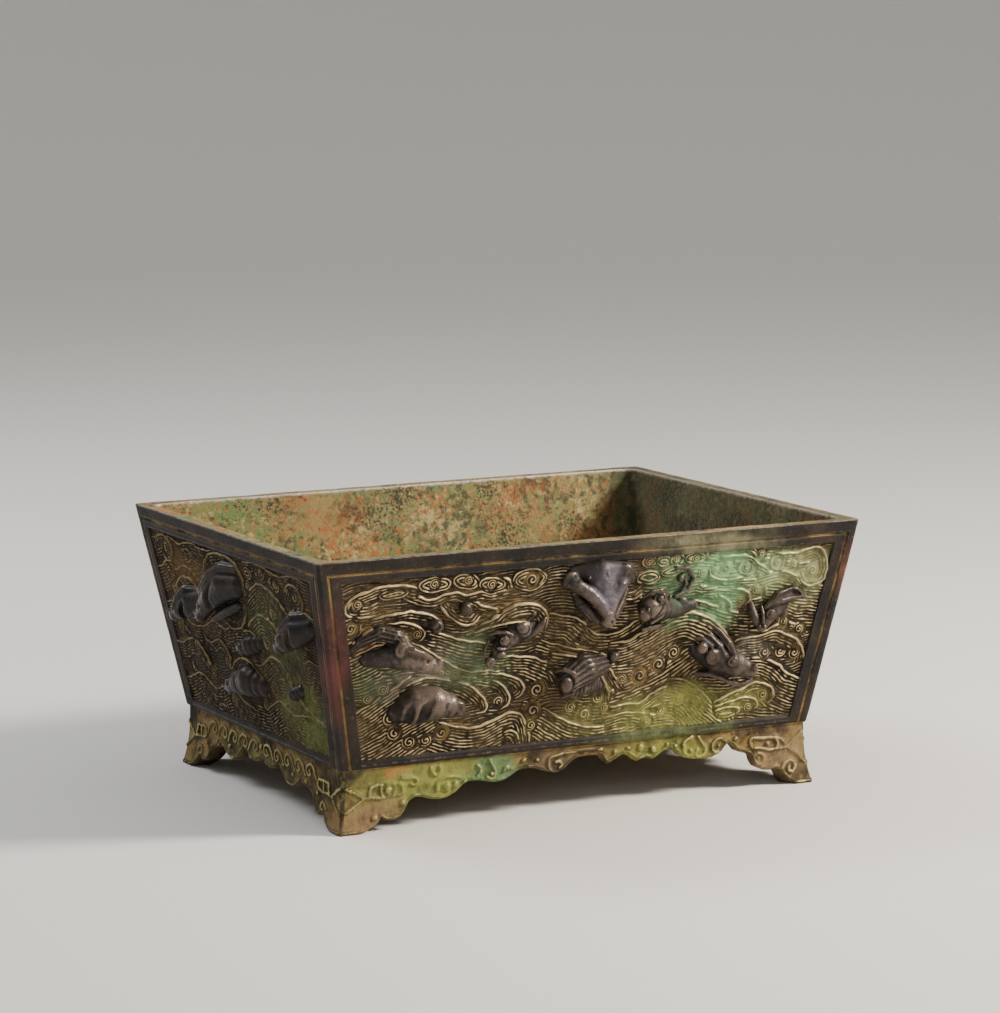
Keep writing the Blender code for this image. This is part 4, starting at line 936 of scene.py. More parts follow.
def curl_tree(finish):
    """The node tree that sweeps one curl and sets it at every point, and the keys of its settings."""
    tree = bpy.data.node_groups.new("foam_curls", "GeometryNodeTree")
    face = tree.interface
    face.new_socket("Geometry", in_out="INPUT", socket_type="NodeSocketGeometry")
    sockets = {
        "turns": face.new_socket("Turns", in_out="INPUT", socket_type="NodeSocketFloat"),
        "thread": face.new_socket("Thread radius", in_out="INPUT", socket_type="NodeSocketFloat"),
        "reverse": face.new_socket("Left handed", in_out="INPUT", socket_type="NodeSocketBool"),
    }
    face.new_socket("Geometry", in_out="OUTPUT", socket_type="NodeSocketGeometry")
    given = add_node(tree, "NodeGroupInput")
    spiral = add_node(tree, "GeometryNodeCurveSpiral", {
        "Resolution": 16, "Rotations": given.outputs["Turns"], "Start Radius": CURL_INNER, "End Radius": 1.0,
        "Height": -0.3, "Reverse": given.outputs["Left handed"]})
    ring = add_node(tree, "GeometryNodeCurvePrimitiveCircle", {
        "Resolution": 6, "Radius": given.outputs["Thread radius"]})
    thread = add_node(tree, "GeometryNodeCurveToMesh", {
        "Curve": spiral.outputs[0], "Profile Curve": ring.outputs[0], "Fill Caps": True})
    turned = add_node(tree, "GeometryNodeInputNamedAttribute", {"Name": "turned"}, data_type="FLOAT_VECTOR")
    size = add_node(tree, "GeometryNodeInputNamedAttribute", {"Name": "size"}, data_type="FLOAT")
    turning = add_node(tree, "FunctionNodeEulerToRotation", {0: turned.outputs[0]})
    placed = add_node(tree, "GeometryNodeInstanceOnPoints", {
        "Points": given.outputs["Geometry"], "Instance": thread.outputs[0], "Rotation": turning.outputs[0],
        "Scale": size.outputs[0]})
    real = add_node(tree, "GeometryNodeRealizeInstances", {0: placed.outputs[0]})
    coated = add_node(tree, "GeometryNodeSetMaterial", {"Geometry": real.outputs[0], "Material": finish})
    add_node(tree, "NodeGroupOutput", {0: coated.outputs[0]})
    return tree, {key: socket.identifier for key, socket in sockets.items()}


def curls_piece(name, side, relief, curls, finish):
    """All the curls of one side, the left-handed and the right-handed ones joined."""
    tree, keys = curl_tree(finish)
    outward = Matrix.Rotation(side.turn, 3, "Z") @ Matrix.Rotation(math.pi / 2 + SLOPE, 3, "X")
    meshes = []
    for hand in (1, -1):
        chosen = [curl for curl in curls if curl[4] * side.mirror == hand]
        places, turns, sizes = [], [], []
        for x, z, radius, start, _ in chosen:
            level = relief.level(x, z) - PANEL_DEPTH
            places.append(side.world(np.array(x * side.mirror), side.rise_of(z), level + CURL_LIFT))
            angle = math.radians(start if side.mirror == 1 else 180 - start)
            turns.append((outward @ Matrix.Rotation(angle, 3, "Z")).to_euler())
            sizes.append(radius / 1000)
        points = bpy.data.meshes.new(f"{name}_points")
        points.from_pydata([tuple(place) for place in places], [], [])
        turned = points.attributes.new("turned", "FLOAT_VECTOR", "POINT")
        turned.data.foreach_set("vector", np.array(turns, float).ravel())
        points.attributes.new("size", "FLOAT", "POINT").data.foreach_set("value", sizes)
        holder = link_object(f"{name}_points", points)
        modifier = holder.modifiers.new("curls", "NODES")
        modifier.node_group = tree
        modifier[keys["turns"]] = CURL_TURNS
        modifier[keys["thread"]] = CURL_THREAD
        modifier[keys["reverse"]] = hand == -1
        shown = holder.evaluated_get(bpy.context.evaluated_depsgraph_get())
        meshes.append(bpy.data.meshes.new_from_object(shown))
        bpy.data.objects.remove(holder)
    vertices = np.concatenate([np.array([v.co[:] for v in mesh.vertices]) for mesh in meshes])
    faces, first = [], 0
    for mesh in meshes:
        faces += [[first + i for i in polygon.vertices] for polygon in mesh.polygons]
        first += len(mesh.vertices)
    return solid(name, vertices, faces, np.full(len(vertices), CURL_WEAR_AND_HIGHLIGHT), [finish])


curls_piece("front_foam_curls", FRONT, front_relief, FRONT_CURLS, front_patina)


# The sea beasts: heads modelled in wax and set on the panels before casting, so they stand out of the waves.
# Each is a smooth union of limbs and balls, with eyes, brows and mouths worked into it.
BEAST_STEP = 0.4
UNPINCH_ROUNDS, JUST_INSIDE = 6, -0.03
BEAST_DEEPEST = -0.6
BEAST_MARGIN = 1.5
RIDGE_REACH = 0.55


def limb(*stations, rings=None, lines=None):
    """A tapering rounded form through (x, z, out, radius) stations.

    Rings are grooves round it and lines are grooves along it, each with a pitch or count and a depth.
    """
    def field(places, lean):
        s = [np.array([x - lean[0] * out, z - lean[1] * out, out, radius]) for x, z, out, radius in stations]
        best, ran = None, 0.0
        for a, b in zip(s, s[1:]):
            run = b[:3] - a[:3]
            length = np.linalg.norm(run)
            t = np.clip(((places - a[:3]) @ run) / length**2, 0, 1)
            offset = places - a[:3] - t[..., None] * run
            gap = np.linalg.norm(offset, axis=-1) - (a[3] + (b[3] - a[3]) * t)
            if rings:
                gap = gap + rings[1] * (0.5 - 0.5 * np.cos(math.tau * (ran + t * length) / rings[0])) ** 2
            if lines:
                aside = np.array([-run[1], run[0], 0]) / np.hypot(run[0], run[1])
                around = np.arctan2(offset[..., 2], offset @ aside)
                gap = gap + lines[1] * (0.5 - 0.5 * np.cos(lines[0] * around)) ** 2
            best = gap if best is None else np.minimum(best, gap)
            ran += length
        return best
    field.stations = stations
    return field


def ball(x, z, out, reach_x, reach_z=None, reach_out=None):
    """An ellipsoid, or a ball if it is given one radius."""
    reach = np.array([reach_x, reach_z or reach_x, reach_out or reach_x])

    def field(places, lean):
        middle = np.array([x - lean[0] * out, z - lean[1] * out, out])
        return (np.linalg.norm((places - middle) / reach, axis=-1) - 1) * reach.min()
    field.stations = ((x, z, out, reach.max()),)
    return field


def eye(x, z, out, radius):
    """A round eye in a sunk socket with a raised lid round it."""
    return (("add", 0.3, ball(x, z, out - radius * 0.3, radius * 1.75, radius * 1.6, radius * 1.1)),
            ("cut", 0.1, ball(x, z, out + radius * 0.75, radius * 1.25, radius * 1.15, radius)),
            ("add", 0.03, ball(x, z, out, radius * 0.8)))


def merged(field, other, blend):
    """Two fields joined with a rounded crease of this width."""
    share = np.clip(0.5 + 0.5 * (other - field) / blend, 0, 1)
    return other + (field - other) * share - blend * share * (1 - share)


def unpinched(field):
    """The field with an outer corner of each chequered grid square filled, so that no edge joins four faces."""
    field = field.copy()
    near, far = slice(None, -1), slice(1, None)
    for _ in range(UNPINCH_ROUNDS):
        for one, two in ((0, 1), (0, 2), (1, 2)):
            corners = []
            for a, b in ((near, near), (far, far), (near, far), (far, near)):
                place = [slice(None)] * 3
                place[one], place[two] = a, b
                corners.append(field[tuple(place)])
            a, d, b, c = (corner < 0 for corner in corners)
            corners[2][a & d & ~b & ~c] = JUST_INSIDE
            corners[0][b & c & ~a & ~d] = JUST_INSIDE
    return field


def surface_net(field, origin, step):
    """The zero surface of a sampled field, as points and quads that face outwards."""
    field = unpinched(field)
    inside = field < 0
    shape = np.array(field.shape) - 1
    total, count = np.zeros((*shape, 3)), np.zeros(shape)
    corners = [(i, j, k) for i in (0, 1) for j in (0, 1) for k in (0, 1)]
    # Each cell that the surface crosses gets one point, the mean of its crossed edges
    for a in corners:
        for axis in range(3):
            if a[axis]:
                continue
            b = tuple(a[n] + (n == axis) for n in range(3))
            first = field[a[0] : a[0] + shape[0], a[1] : a[1] + shape[1], a[2] : a[2] + shape[2]]
            second = field[b[0] : b[0] + shape[0], b[1] : b[1] + shape[1], b[2] : b[2] + shape[2]]
            crossed = (first < 0) != (second < 0)
            t = np.where(crossed, first / np.where(crossed, first - second, 1), 0)
            for n in range(3):
                total[..., n] += crossed * (a[n] + (t if n == axis else 0))
            count += crossed
    used = count > 0
    number = np.full(shape, -1)
    number[used] = np.arange(used.sum())
    cells = np.argwhere(used)
    points = origin + (cells + total[used] / count[used][:, None]) * step
    # Each crossed edge is wrapped by a quad through the four cells round it
    quads = []
    for axis in range(3):
        one, two = [n for n in range(3) if n != axis]
        low = np.take(inside, range(inside.shape[axis] - 1), axis)
        high = np.take(inside, range(1, inside.shape[axis]), axis)
        for flip, found in ((False, low & ~high), (True, ~low & high)):
            at = np.argwhere(found)
            at = at[(at[:, one] > 0) & (at[:, two] > 0) & (at[:, one] < shape[one]) & (at[:, two] < shape[two])]
            ring = []
            for step_one, step_two in ((-1, -1), (0, -1), (0, 0), (-1, 0)):
                cell = at.copy()
                cell[:, one] += step_one
                cell[:, two] += step_two
                ring.append(number[cell[:, 0], cell[:, 1], cell[:, 2]])
            quad = np.stack(ring, axis=1)
            quads.append(quad[:, ::-1] if flip != (axis == 1) else quad)
    return points, np.concatenate(quads)


def beast_mesh(forms, lean, step):
    """One beast's surface in sheet millimetres: x, z and out."""
    low, high = np.full(3, 1e9), np.full(3, -1e9)
    for _, _, form in forms:
        for x, z, out, radius in form.stations:
            middle = np.array([x - lean[0] * out, z - lean[1] * out, out])
            low, high = np.minimum(low, middle - radius), np.maximum(high, middle + radius)
    low, high = low - BEAST_MARGIN, high + BEAST_MARGIN
    low[2] = BEAST_DEEPEST - 1.5 * step
    axes = [np.arange(a, b, step) for a, b in zip(low, high)]
    places = np.stack(np.meshgrid(*axes, indexing="ij"), axis=-1)
    field = None
    for kind, blend, form in forms:
        other = form(places, lean)
        if field is None:
            field = other
        elif kind == "add":
            field = merged(field, other, blend)
        else:
            field = -merged(-field, other, blend)
    field = np.maximum(field, BEAST_DEEPEST - places[..., 2])
    return surface_net(field, low, step)


def stands_proud(points, quads, reach):
    """How far each point stands out from those round it: 0 in a crease, 1 on a ridge."""
    ahead = np.concatenate([quads[:, [i, (i + 1) % 4]] for i in range(4)])
    count = np.bincount(ahead[:, 0], minlength=len(points))
    diagonals = np.cross(points[quads[:, 2]] - points[quads[:, 0]], points[quads[:, 3]] - points[quads[:, 1]])
    corners = quads.T.ravel()
    normals = np.stack([np.bincount(corners, np.tile(d, 4), len(points)) for d in diagonals.T], axis=1)
    smooth = points
    for _ in range(8):
        smooth = np.stack([np.bincount(ahead[:, 0], c[ahead[:, 1]], len(points)) for c in smooth.T], axis=1)
        smooth /= count[:, None]
    raised = ((points - smooth) * normals).sum(1) / (np.linalg.norm(normals, axis=1) + 1e-9)
    return np.clip(0.5 + raised / reach, 0, 1)


def beasts_piece(name, side, beasts, finish, step=BEAST_STEP):
    """All the beasts of one side as one piece, worn most where they stand proud, with a painted highlight on the
    parts that stand furthest out.
    """
    vertices, faces, first, wear_and_painted_highlight = [], [], 0, []
    for forms in beasts.values():
        points, quads = beast_mesh(forms, side.lean, step)
        proud = stands_proud(points, quads, RIDGE_REACH)
        # Rubbed where a point stands proud, and lighter the further out it stands: that part is a painted highlight
        # on the foremost surfaces
        wear_and_painted_highlight.append(np.clip(0.2 + 0.75 * proud + 0.03 * points[:, 2], 0, 1))
        if side.mirror == -1:
            quads = quads[:, ::-1]
        vertices.append(side.world(points[:, 0] * side.mirror, side.rise_of(points[:, 1]),
                                   points[:, 2] * side.stand - PANEL_DEPTH))
        faces.append(quads + first)
        first += len(points)
    vertices = np.concatenate(vertices)
    return solid(name, vertices, np.concatenate(faces).tolist(), np.concatenate(wear_and_painted_highlight), [finish])


# The beasts: glossy dark bronze, pinkish grey on the brows and noses, partly rubbed by the hands that meet them first
# and partly a painted highlight
beast_patina = patina(
    "rubbed_and_highlit_bronze_beasts",
    (
        ("#8F7D70", (-0.060, -0.085, 0.052), (0.026, 0.02, 0.016), 0.6, 1.0),
        ("#6F6A78", (0.004, -0.090, 0.074), (0.012, 0.02, 0.012), 0.6, 1.0),
        ("#6E9A80", (0.036, -0.080, 0.072), (0.012, 0.02, 0.010), 0.4, 0.2),
        ("#8F8A80", (0.062, -0.085, 0.048), (0.014, 0.02, 0.012), 0.5, 1.0),
    ),
    earth=0.3, crest=0.4, rub_and_highlight=("#75675A", 0.74, 0.8), polish=0.24,
)
# Those of the other sides are nearly black, partly their own dark bronze and partly painted shade, and shine more
dark_shaded_beast_patina = patina("dark_bronze_beasts", (), earth=0.2, crest=0.4, rub_and_highlight=("#4C433A", 0.8, 0.75), polish=0.2)

FRONT_BEASTS = {
    # A banded neck that arches over, a long soft head, a bead of an ear in a ring, and a blunt nose
    "left_dragon": (
        ("add", 0, limb((-80, 58.6, -0.6, 3.4), (-71, 58.4, 2, 4.2), (-64.4, 57, 4.3, 4.2), (-60, 55.2, 5.6, 3.7),
                        (-56.2, 53.6, 6.2, 2.7))),
        ("add", 1.2, limb((-88, 60, -0.4, 1.4), (-82.6, 64, 0.4, 2.2), (-76, 66.4, 1.2, 2.7), (-70, 64.6, 2.4, 2.8),
                          (-66.2, 60.6, 4, 2.2), lines=(11, 0.6))),
        ("add", 0.9, ball(-55, 53.4, 6.8, 2.5, 2.3, 2.1)),
        ("add", 0.4, ball(-53.4, 54.9, 7.7, 1.1)),
        ("cut", 0.2, ball(-57.6, 55.2, 8.9, 0.75)),
        ("cut", 0.3, limb((-52.6, 52.2, 7.6, 0.4), (-56.4, 50.8, 7.8, 0.5), (-61, 51.4, 7.2, 0.5),
                          (-65, 53.2, 5.8, 0.4))),
        ("add", 0.8, limb((-66.4, 60.4, 6.6, 0.8), (-63, 59.4, 8.2, 1.1), (-59.6, 58, 8.6, 1),
                          (-56.6, 56.6, 8.2, 0.6))),
        ("cut", 0.15, limb((-60.4, 56.4, 9.6, 0.3), (-58.6, 56.2, 9.6, 0.35), (-57.2, 56.8, 9.2, 0.25))),
        ("add", 0.3, ball(-67.4, 60, 6.4, 2.4, 2.9, 1.5)),
        ("cut", 0.15, ball(-67.3, 60.1, 8.2, 1.8, 2.2, 1)),
        ("add", 0.05, ball(-67.3, 60.1, 6.9, 1.25, 1.7, 1.2)),
    ),
    # A broad smooth head with two deep folds down its cheek, and a flat round nose
    "shell_beast": (
        ("add", 0, limb((-68, 39.5, -0.6, 4.2), (-61.6, 40.6, 1.8, 6.3), (-55, 40.8, 3.4, 5.6),
                        (-49.6, 39.8, 4.4, 4), (-46.2, 38.8, 5.2, 2.7))),
        ("cut", 0.8, limb((-60.6, 43, 8.8, 1), (-62.6, 38.6, 7.8, 2), (-63.6, 34, 5.4, 1.8))),
        ("cut", 0.8, limb((-53.8, 43, 9.2, 1), (-56.6, 39, 8.8, 2.1), (-58.4, 34, 6.6, 2))),
        ("add", 0.5, ball(-45.4, 38.6, 5.8, 2.1, 2.4, 1.8)),
        ("cut", 0.15, ball(-44.7, 38.8, 7.9, 1.3, 1.5, 0.7)),
        ("add", 0.05, ball(-44.7, 38.8, 7, 0.5)),
        ("cut", 0.3, limb((-44.4, 36, 6.6, 0.4), (-48, 34.9, 7.2, 0.5), (-52, 35.4, 7.4, 0.4))),
        *eye(-49.2, 39.4, 8, 0.85),
    ),
    # Long drooping head under a hood of waves, with a rolled horn and two knobs at the nose
    "horned_fish": (
        ("add", 0, limb((-21, 63, 0, 3), (-27, 62.4, 2, 3.6), (-31, 59.4, 3.8, 3), (-33.2, 56.4, 4.6, 2.1),
                        (-34.4, 54.4, 4.8, 1.5))),
        ("add", 0.3, ball(-31.4, 55.2, 6.4, 1.6, 1.2, 1.3)),
        ("add", 0.3, ball(-35.2, 53, 5.6, 1.9, 1.8, 1.6)),
        ("cut", 0.15, limb((-33.2, 53.9, 7.3, 0.35), (-36.4, 51.2, 6.8, 0.35))),
        ("add", 0.3, ball(-24.2, 62.9, 4.6, 3, 2.7, 1.7)),
        ("cut", 0.1, limb((-24.2, 62.9, 6.5, 0.3), (-25.2, 64, 6.5, 0.35), (-26.2, 62.6, 6.4, 0.4),
                          (-24.8, 61.2, 6.3, 0.4), (-22.4, 61.4, 6.2, 0.4), (-21.6, 63.4, 5.8, 0.4),
                          (-23, 65, 5.8, 0.4))),
        ("add", 0.3, limb((-23.4, 60.2, 3.6, 1), (-20, 61.8, 3.6, 1.4), (-17, 64.6, 3.2, 1),
                          (-16.2, 66.6, 2.6, 0.4))),
        ("add", 0.3, limb((-37, 62.6, 3, 0.5), (-33.6, 62.8, 5, 0.65), (-30.4, 62.6, 6.2, 0.65),
                          (-27.6, 61.4, 6.6, 0.4))),
        *eye(-30.6, 59.8, 6.8, 1),
        ("add", 0.2, limb((-28.6, 57.8, 5.8, 0.5), (-31, 56.8, 6.8, 0.5), (-33, 57.6, 6.6, 0.4))),
        ("add", 0.2, limb((-36.6, 60, 3.6, 0.5), (-37.6, 57, 4.2, 0.55), (-37.4, 54, 4.8, 0.4))),
        ("add", 0.2, ball(-20.8, 68.1, 1.6, 1.1)),
    ),
    # A broad forehead with rolled ends, two bands that join down the nose, and a sunk brow between
    "ram_head": (
        ("add", 0, limb((1.5, 80.5, -0.6, 3.8), (3, 76.4, 2.2, 5), (5, 70.4, 4.6, 3.6), (6.9, 63.8, 7, 2.2))),
        ("add", 1.6, limb((-8, 81, -0.6, 2.6), (3, 80.6, 1.6, 4), (12.4, 81, -0.6, 2.6))),
        ("add", 0.6, ball(-7.8, 78.6, 2.6, 2.7, 2.6, 1.5)),
        ("cut", 0.1, limb((-7.8, 78.6, 4.2, 0.3), (-8.8, 79.6, 4.1, 0.3), (-9.4, 78.2, 3.9, 0.35),
                          (-8, 76.8, 4, 0.35), (-6.2, 77.8, 4, 0.35), (-6.4, 79.8, 3.8, 0.35))),
        ("add", 0.6, ball(12, 79, 2.8, 3.3, 3.3, 1.5)),
        ("cut", 0.12, ball(12.1, 79, 4.9, 2.2, 2.2, 0.8)),
        ("add", 0.1, limb((12.1, 79, 4.1, 0.5), (13.1, 79.6, 4, 0.45), (13, 78, 3.8, 0.4), (11.4, 77.6, 3.8, 0.4))),
        ("add", 1.2, limb((-9, 77.4, 2.2, 1.7), (-4.8, 75.8, 4, 2.3), (-0.4, 73, 5.6, 2.3), (3.4, 69.4, 7, 2),
                          (6.2, 65, 8.7, 1.5))),
        ("add", 1.2, limb((13.6, 77.2, 2.2, 1.6), (10.8, 75.2, 4.2, 2.1), (8.6, 70.8, 6, 1.9),
                          (6.9, 65, 8.7, 1.5))),
        ("cut", 1, limb((1.8, 79.6, 7.4, 1.6), (3.6, 76, 8.2, 1.7), (5.4, 71.6, 9.2, 1.1))),
        ("cut", 0.3, ball(-1.2, 78.6, 6.6, 1.2, 1.2, 1.4)),
        ("add", 0.05, ball(-1.2, 78.6, 5.4, 0.65)),
        ("cut", 0.3, ball(5.6, 79.2, 6.8, 1.3, 1.3, 1.4)),
        ("add", 0.05, ball(5.6, 79.2, 5.6, 0.7)),
        ("add", 0.5, ball(6.9, 63, 8.6, 2.8, 2, 1.7)),
        ("cut", 0.15, ball(5.6, 62.7, 10.3, 0.6, 0.5, 0.6)),
        ("cut", 0.15, ball(8.4, 62.9, 10.2, 0.6, 0.5, 0.6)),
        ("cut", 0.2, limb((4.4, 61, 9.2, 0.3), (7, 60.5, 9.6, 0.35), (9.6, 61.2, 9, 0.3))),
        ("add", 0.8, limb((-6, 73.6, 0.4, 1.6), (-3, 69, 2, 2.2), (1, 65.4, 4, 2), (4.6, 62.8, 6, 1.3),
                          rings=(1.1, 0.12))),
        ("add", 0.8, limb((12.4, 73.4, 0.6, 1.3), (11, 69, 2.4, 1.8), (9.2, 65, 4.8, 1.5), rings=(1.1, 0.12))),
    ),
    # A round head seen from the side, its jaw edged with a band, a curled horn behind it
    "horned_seal": (
        ("add", 0, limb((38, 66.3, 0, 2.2), (31, 65.3, 1.4, 3.2), (26, 66.6, 3, 4.2), (22, 66.5, 5, 4))),
        ("add", 0.5, ball(20.4, 64.6, 6.8, 2.3, 2.6, 2)),
        ("add", 0.3, limb((19.4, 70.2, 6, 0.5), (22.4, 72, 6.8, 0.75), (26, 72.2, 6.6, 0.75),
                          (28.8, 70.8, 5.6, 0.5))),
        *eye(25.8, 69.4, 7.1, 1.45),
        ("add", 0.12, limb((29.4, 69.8, 5, 0.6), (28.6, 66.4, 6.2, 0.75), (26.6, 63.2, 7, 0.75),
                           (23.2, 61.2, 7.2, 0.6))),
        ("cut", 0.15, limb((27.6, 68.2, 7.4, 0.35), (26.8, 65.6, 8, 0.4), (24.6, 63.2, 8.2, 0.4))),
        ("cut", 0.15, limb((18.2, 62.8, 8.4, 0.35), (20.6, 61.8, 8.6, 0.4), (22.6, 62.2, 8.6, 0.35))),
        ("add", 0.12, ball(19, 65.4, 8.7, 0.6)),
        ("add", 0.12, ball(21.6, 65.8, 8.9, 0.6)),
        ("add", 0.2, limb((31.6, 69.4, 2.4, 0.8), (36, 71.4, 1.4, 0.9), (38, 75.2, 1.2, 0.9),
                          (35.6, 78.9, 1.2, 0.8), (31, 79.2, 1, 0.55))),
        ("add", 0.2, limb((33.2, 70.6, 1.4, 0.5), (35.4, 73.8, 1.2, 0.55), (34, 77, 1.1, 0.5))),
        ("add", 0.2, ball(33, 75.6, 1.2, 1.3)),
        ("add", 0.3, ball(34.4, 67.4, 2.2, 1.9, 1.9, 1.3)),
        ("add", 0.4, limb((28.6, 60.4, 0.8, 0.9), (25, 59.6, 2.8, 1.1), (20.4, 59.2, 3.4, 0.8))),
    ),
    # A shining round eye in a ribbed shell
    "pearl_snail": (
        ("add", 0, limb((5, 48.6, -1, 4.2), (-1, 47.4, 2, 5.4), (-6, 44.4, 4.2, 4.4), lines=(15, 0.5))),
        ("add", 0.6, limb((4.8, 42, -0.6, 3.2), (-1.6, 42, 2.4, 3.8), (-6.4, 40.8, 3.6, 2.8), rings=(1.5, 0.35))),
        ("cut", 0.3, ball(-6.6, 43, 8.4, 3, 3.4, 2.2)),
        ("add", 0.05, ball(-6.7, 42.8, 6.4, 2.35, 2.9, 2.2)),
        ("add", 0.3, limb((-11, 47.6, 3.2, 0.6), (-8, 48, 5.8, 0.8), (-4.4, 46.4, 7.2, 0.9), (-2.8, 43, 7.2, 0.8),
                          (-4, 39.8, 6, 0.7), (-8, 38.4, 4.4, 0.5))),
    ),
    # A long head coming out of the wave under heavy bands: a horn knob, a coil, a ringed eye and a long lip
    "right_dragon": (
        ("add", 0, limb((41, 51, -0.6, 3.4), (49, 47.2, 2, 5), (56.6, 43.8, 4, 4.3), (62.2, 41.4, 5.4, 2.8))),
        ("add", 0.7, limb((43.6, 60, 0.4, 1.2), (49.4, 56, 2.6, 1.5), (53.6, 51.2, 4.8, 1.6), (56, 46.8, 6.6, 1.2),
                          (57.4, 44.2, 7.6, 0.6), lines=(5, 0.35))),
        ("add", 0.7, limb((40.4, 57.8, 0.4, 1.1), (46, 54.4, 2.6, 1.4), (50.2, 50.6, 4.8, 1.4),
                          (52.4, 47.4, 6.2, 0.8), lines=(5, 0.35))),
        ("add", 0.6, limb((38.8, 55, 0.4, 1), (43.4, 53.4, 2.8, 1.2), (46.8, 51, 4.4, 1))),
        ("add", 0.3, ball(43.5, 50.7, 4.9, 2, 2, 1.7)),
        ("add", 0.5, ball(47.9, 47.2, 5.6, 2.9, 2.8, 1.5)),
        ("cut", 0.1, limb((47.9, 47.2, 7.2, 0.3), (48.9, 48.1, 7.2, 0.35), (49.4, 46.6, 7.2, 0.38),
                          (48, 45.5, 7.1, 0.4), (46.2, 46.2, 7, 0.4), (46, 48.2, 6.9, 0.4),
                          (47.6, 49.4, 6.8, 0.35))),
        *eye(55.6, 45, 8.2, 1.15),
        ("add", 0.7, ball(62.6, 41.4, 6.5, 2.7, 2.4, 2)),
        ("add", 0.3, ball(64.2, 42.4, 8, 1.15)),
        ("cut", 0.15, ball(61, 43.8, 8.8, 0.55)),
        ("cut", 0.25, limb((65, 39.6, 7.2, 0.4), (60.4, 38.4, 7.8, 0.55), (56, 39, 7.4, 0.5),
                           (52.6, 40.6, 6.2, 0.35))),
        ("add", 0.4, limb((63.4, 37.8, 5.6, 0.7), (59.6, 36.8, 6, 0.95), (55.4, 37.8, 5.4, 0.9),
                          (51.6, 39.6, 4.2, 0.6))),
        ("add", 0.5, limb((41.6, 41.8, 0.2, 0.9), (47.4, 41.4, 2.4, 1.1), (52.4, 39.4, 3.8, 1),
                          (57, 36.5, 4, 0.6))),
    ),
    # A small beaked head with one long leaf of an ear
    "duck_head": (
        ("add", 0, limb((72.5, 64, 0, 2.8), (69, 61.9, 2.6, 3.3), (66.7, 58.6, 4.8, 2.4), (65.5, 55.9, 5.6, 1.6))),
        ("add", 0.3, limb((60.6, 64.6, 0.6, 1.3), (61.8, 61.4, 2.8, 1.6), (63.2, 58.6, 4.6, 1.3),
                          (64.6, 56, 5.8, 0.8))),
        ("add", 0.2, limb((64.8, 63.6, 5.4, 0.4), (65.6, 60.6, 7, 0.6), (66, 57.4, 7.6, 0.5))),
        ("add", 0.5, limb((67, 62.8, 4.4, 1), (71.6, 66, 3.6, 2.5), (76.8, 67.2, 2.4, 2.6),
                          (81.4, 65.8, 0.8, 0.9))),
        ("cut", 0.3, limb((69.7, 64.4, 6.6, 0.6), (72.8, 66.3, 6.2, 1.3), (76.8, 67.3, 5.1, 1.4),
                          (79.6, 66.4, 3.2, 0.6))),
        ("add", 0.4, ball(73.4, 60.4, 2.2, 2.1, 1.7, 1.5)),
        *eye(68.6, 60.4, 6.9, 1.05),
        ("add", 0.15, ball(66.6, 55.9, 7.2, 0.75)),
        ("add", 0.15, ball(64.6, 56.5, 7.2, 0.7)),
    ),
    "left_cloud_knob": (
        ("add", 0, limb((-59, 68, 0, 1.6), (-55.8, 66.8, 1.4, 2.5))),
        ("cut", 0.1, limb((-55.9, 66.9, 4, 0.3), (-55, 67.9, 3.8, 0.35), (-54.4, 66.4, 3.6, 0.35),
                          (-56, 65.4, 3.7, 0.35), (-57.6, 66.6, 3.6, 0.35), (-56.8, 68.6, 3.4, 0.3))),
    ),
    "cupped_knob": (("add", 0, limb((-46.5, 73.2, 0, 1.6), (-45.6, 72, 1.8, 2.1))),),
    "wave_knob": (("add", 0, limb((11.5, 51.5, 0, 1.5), (10.4, 50.7, 1.4, 1.8), rings=(1.2, 0.3))),),
}
beasts_piece("front_beasts", FRONT, FRONT_BEASTS, beast_patina)

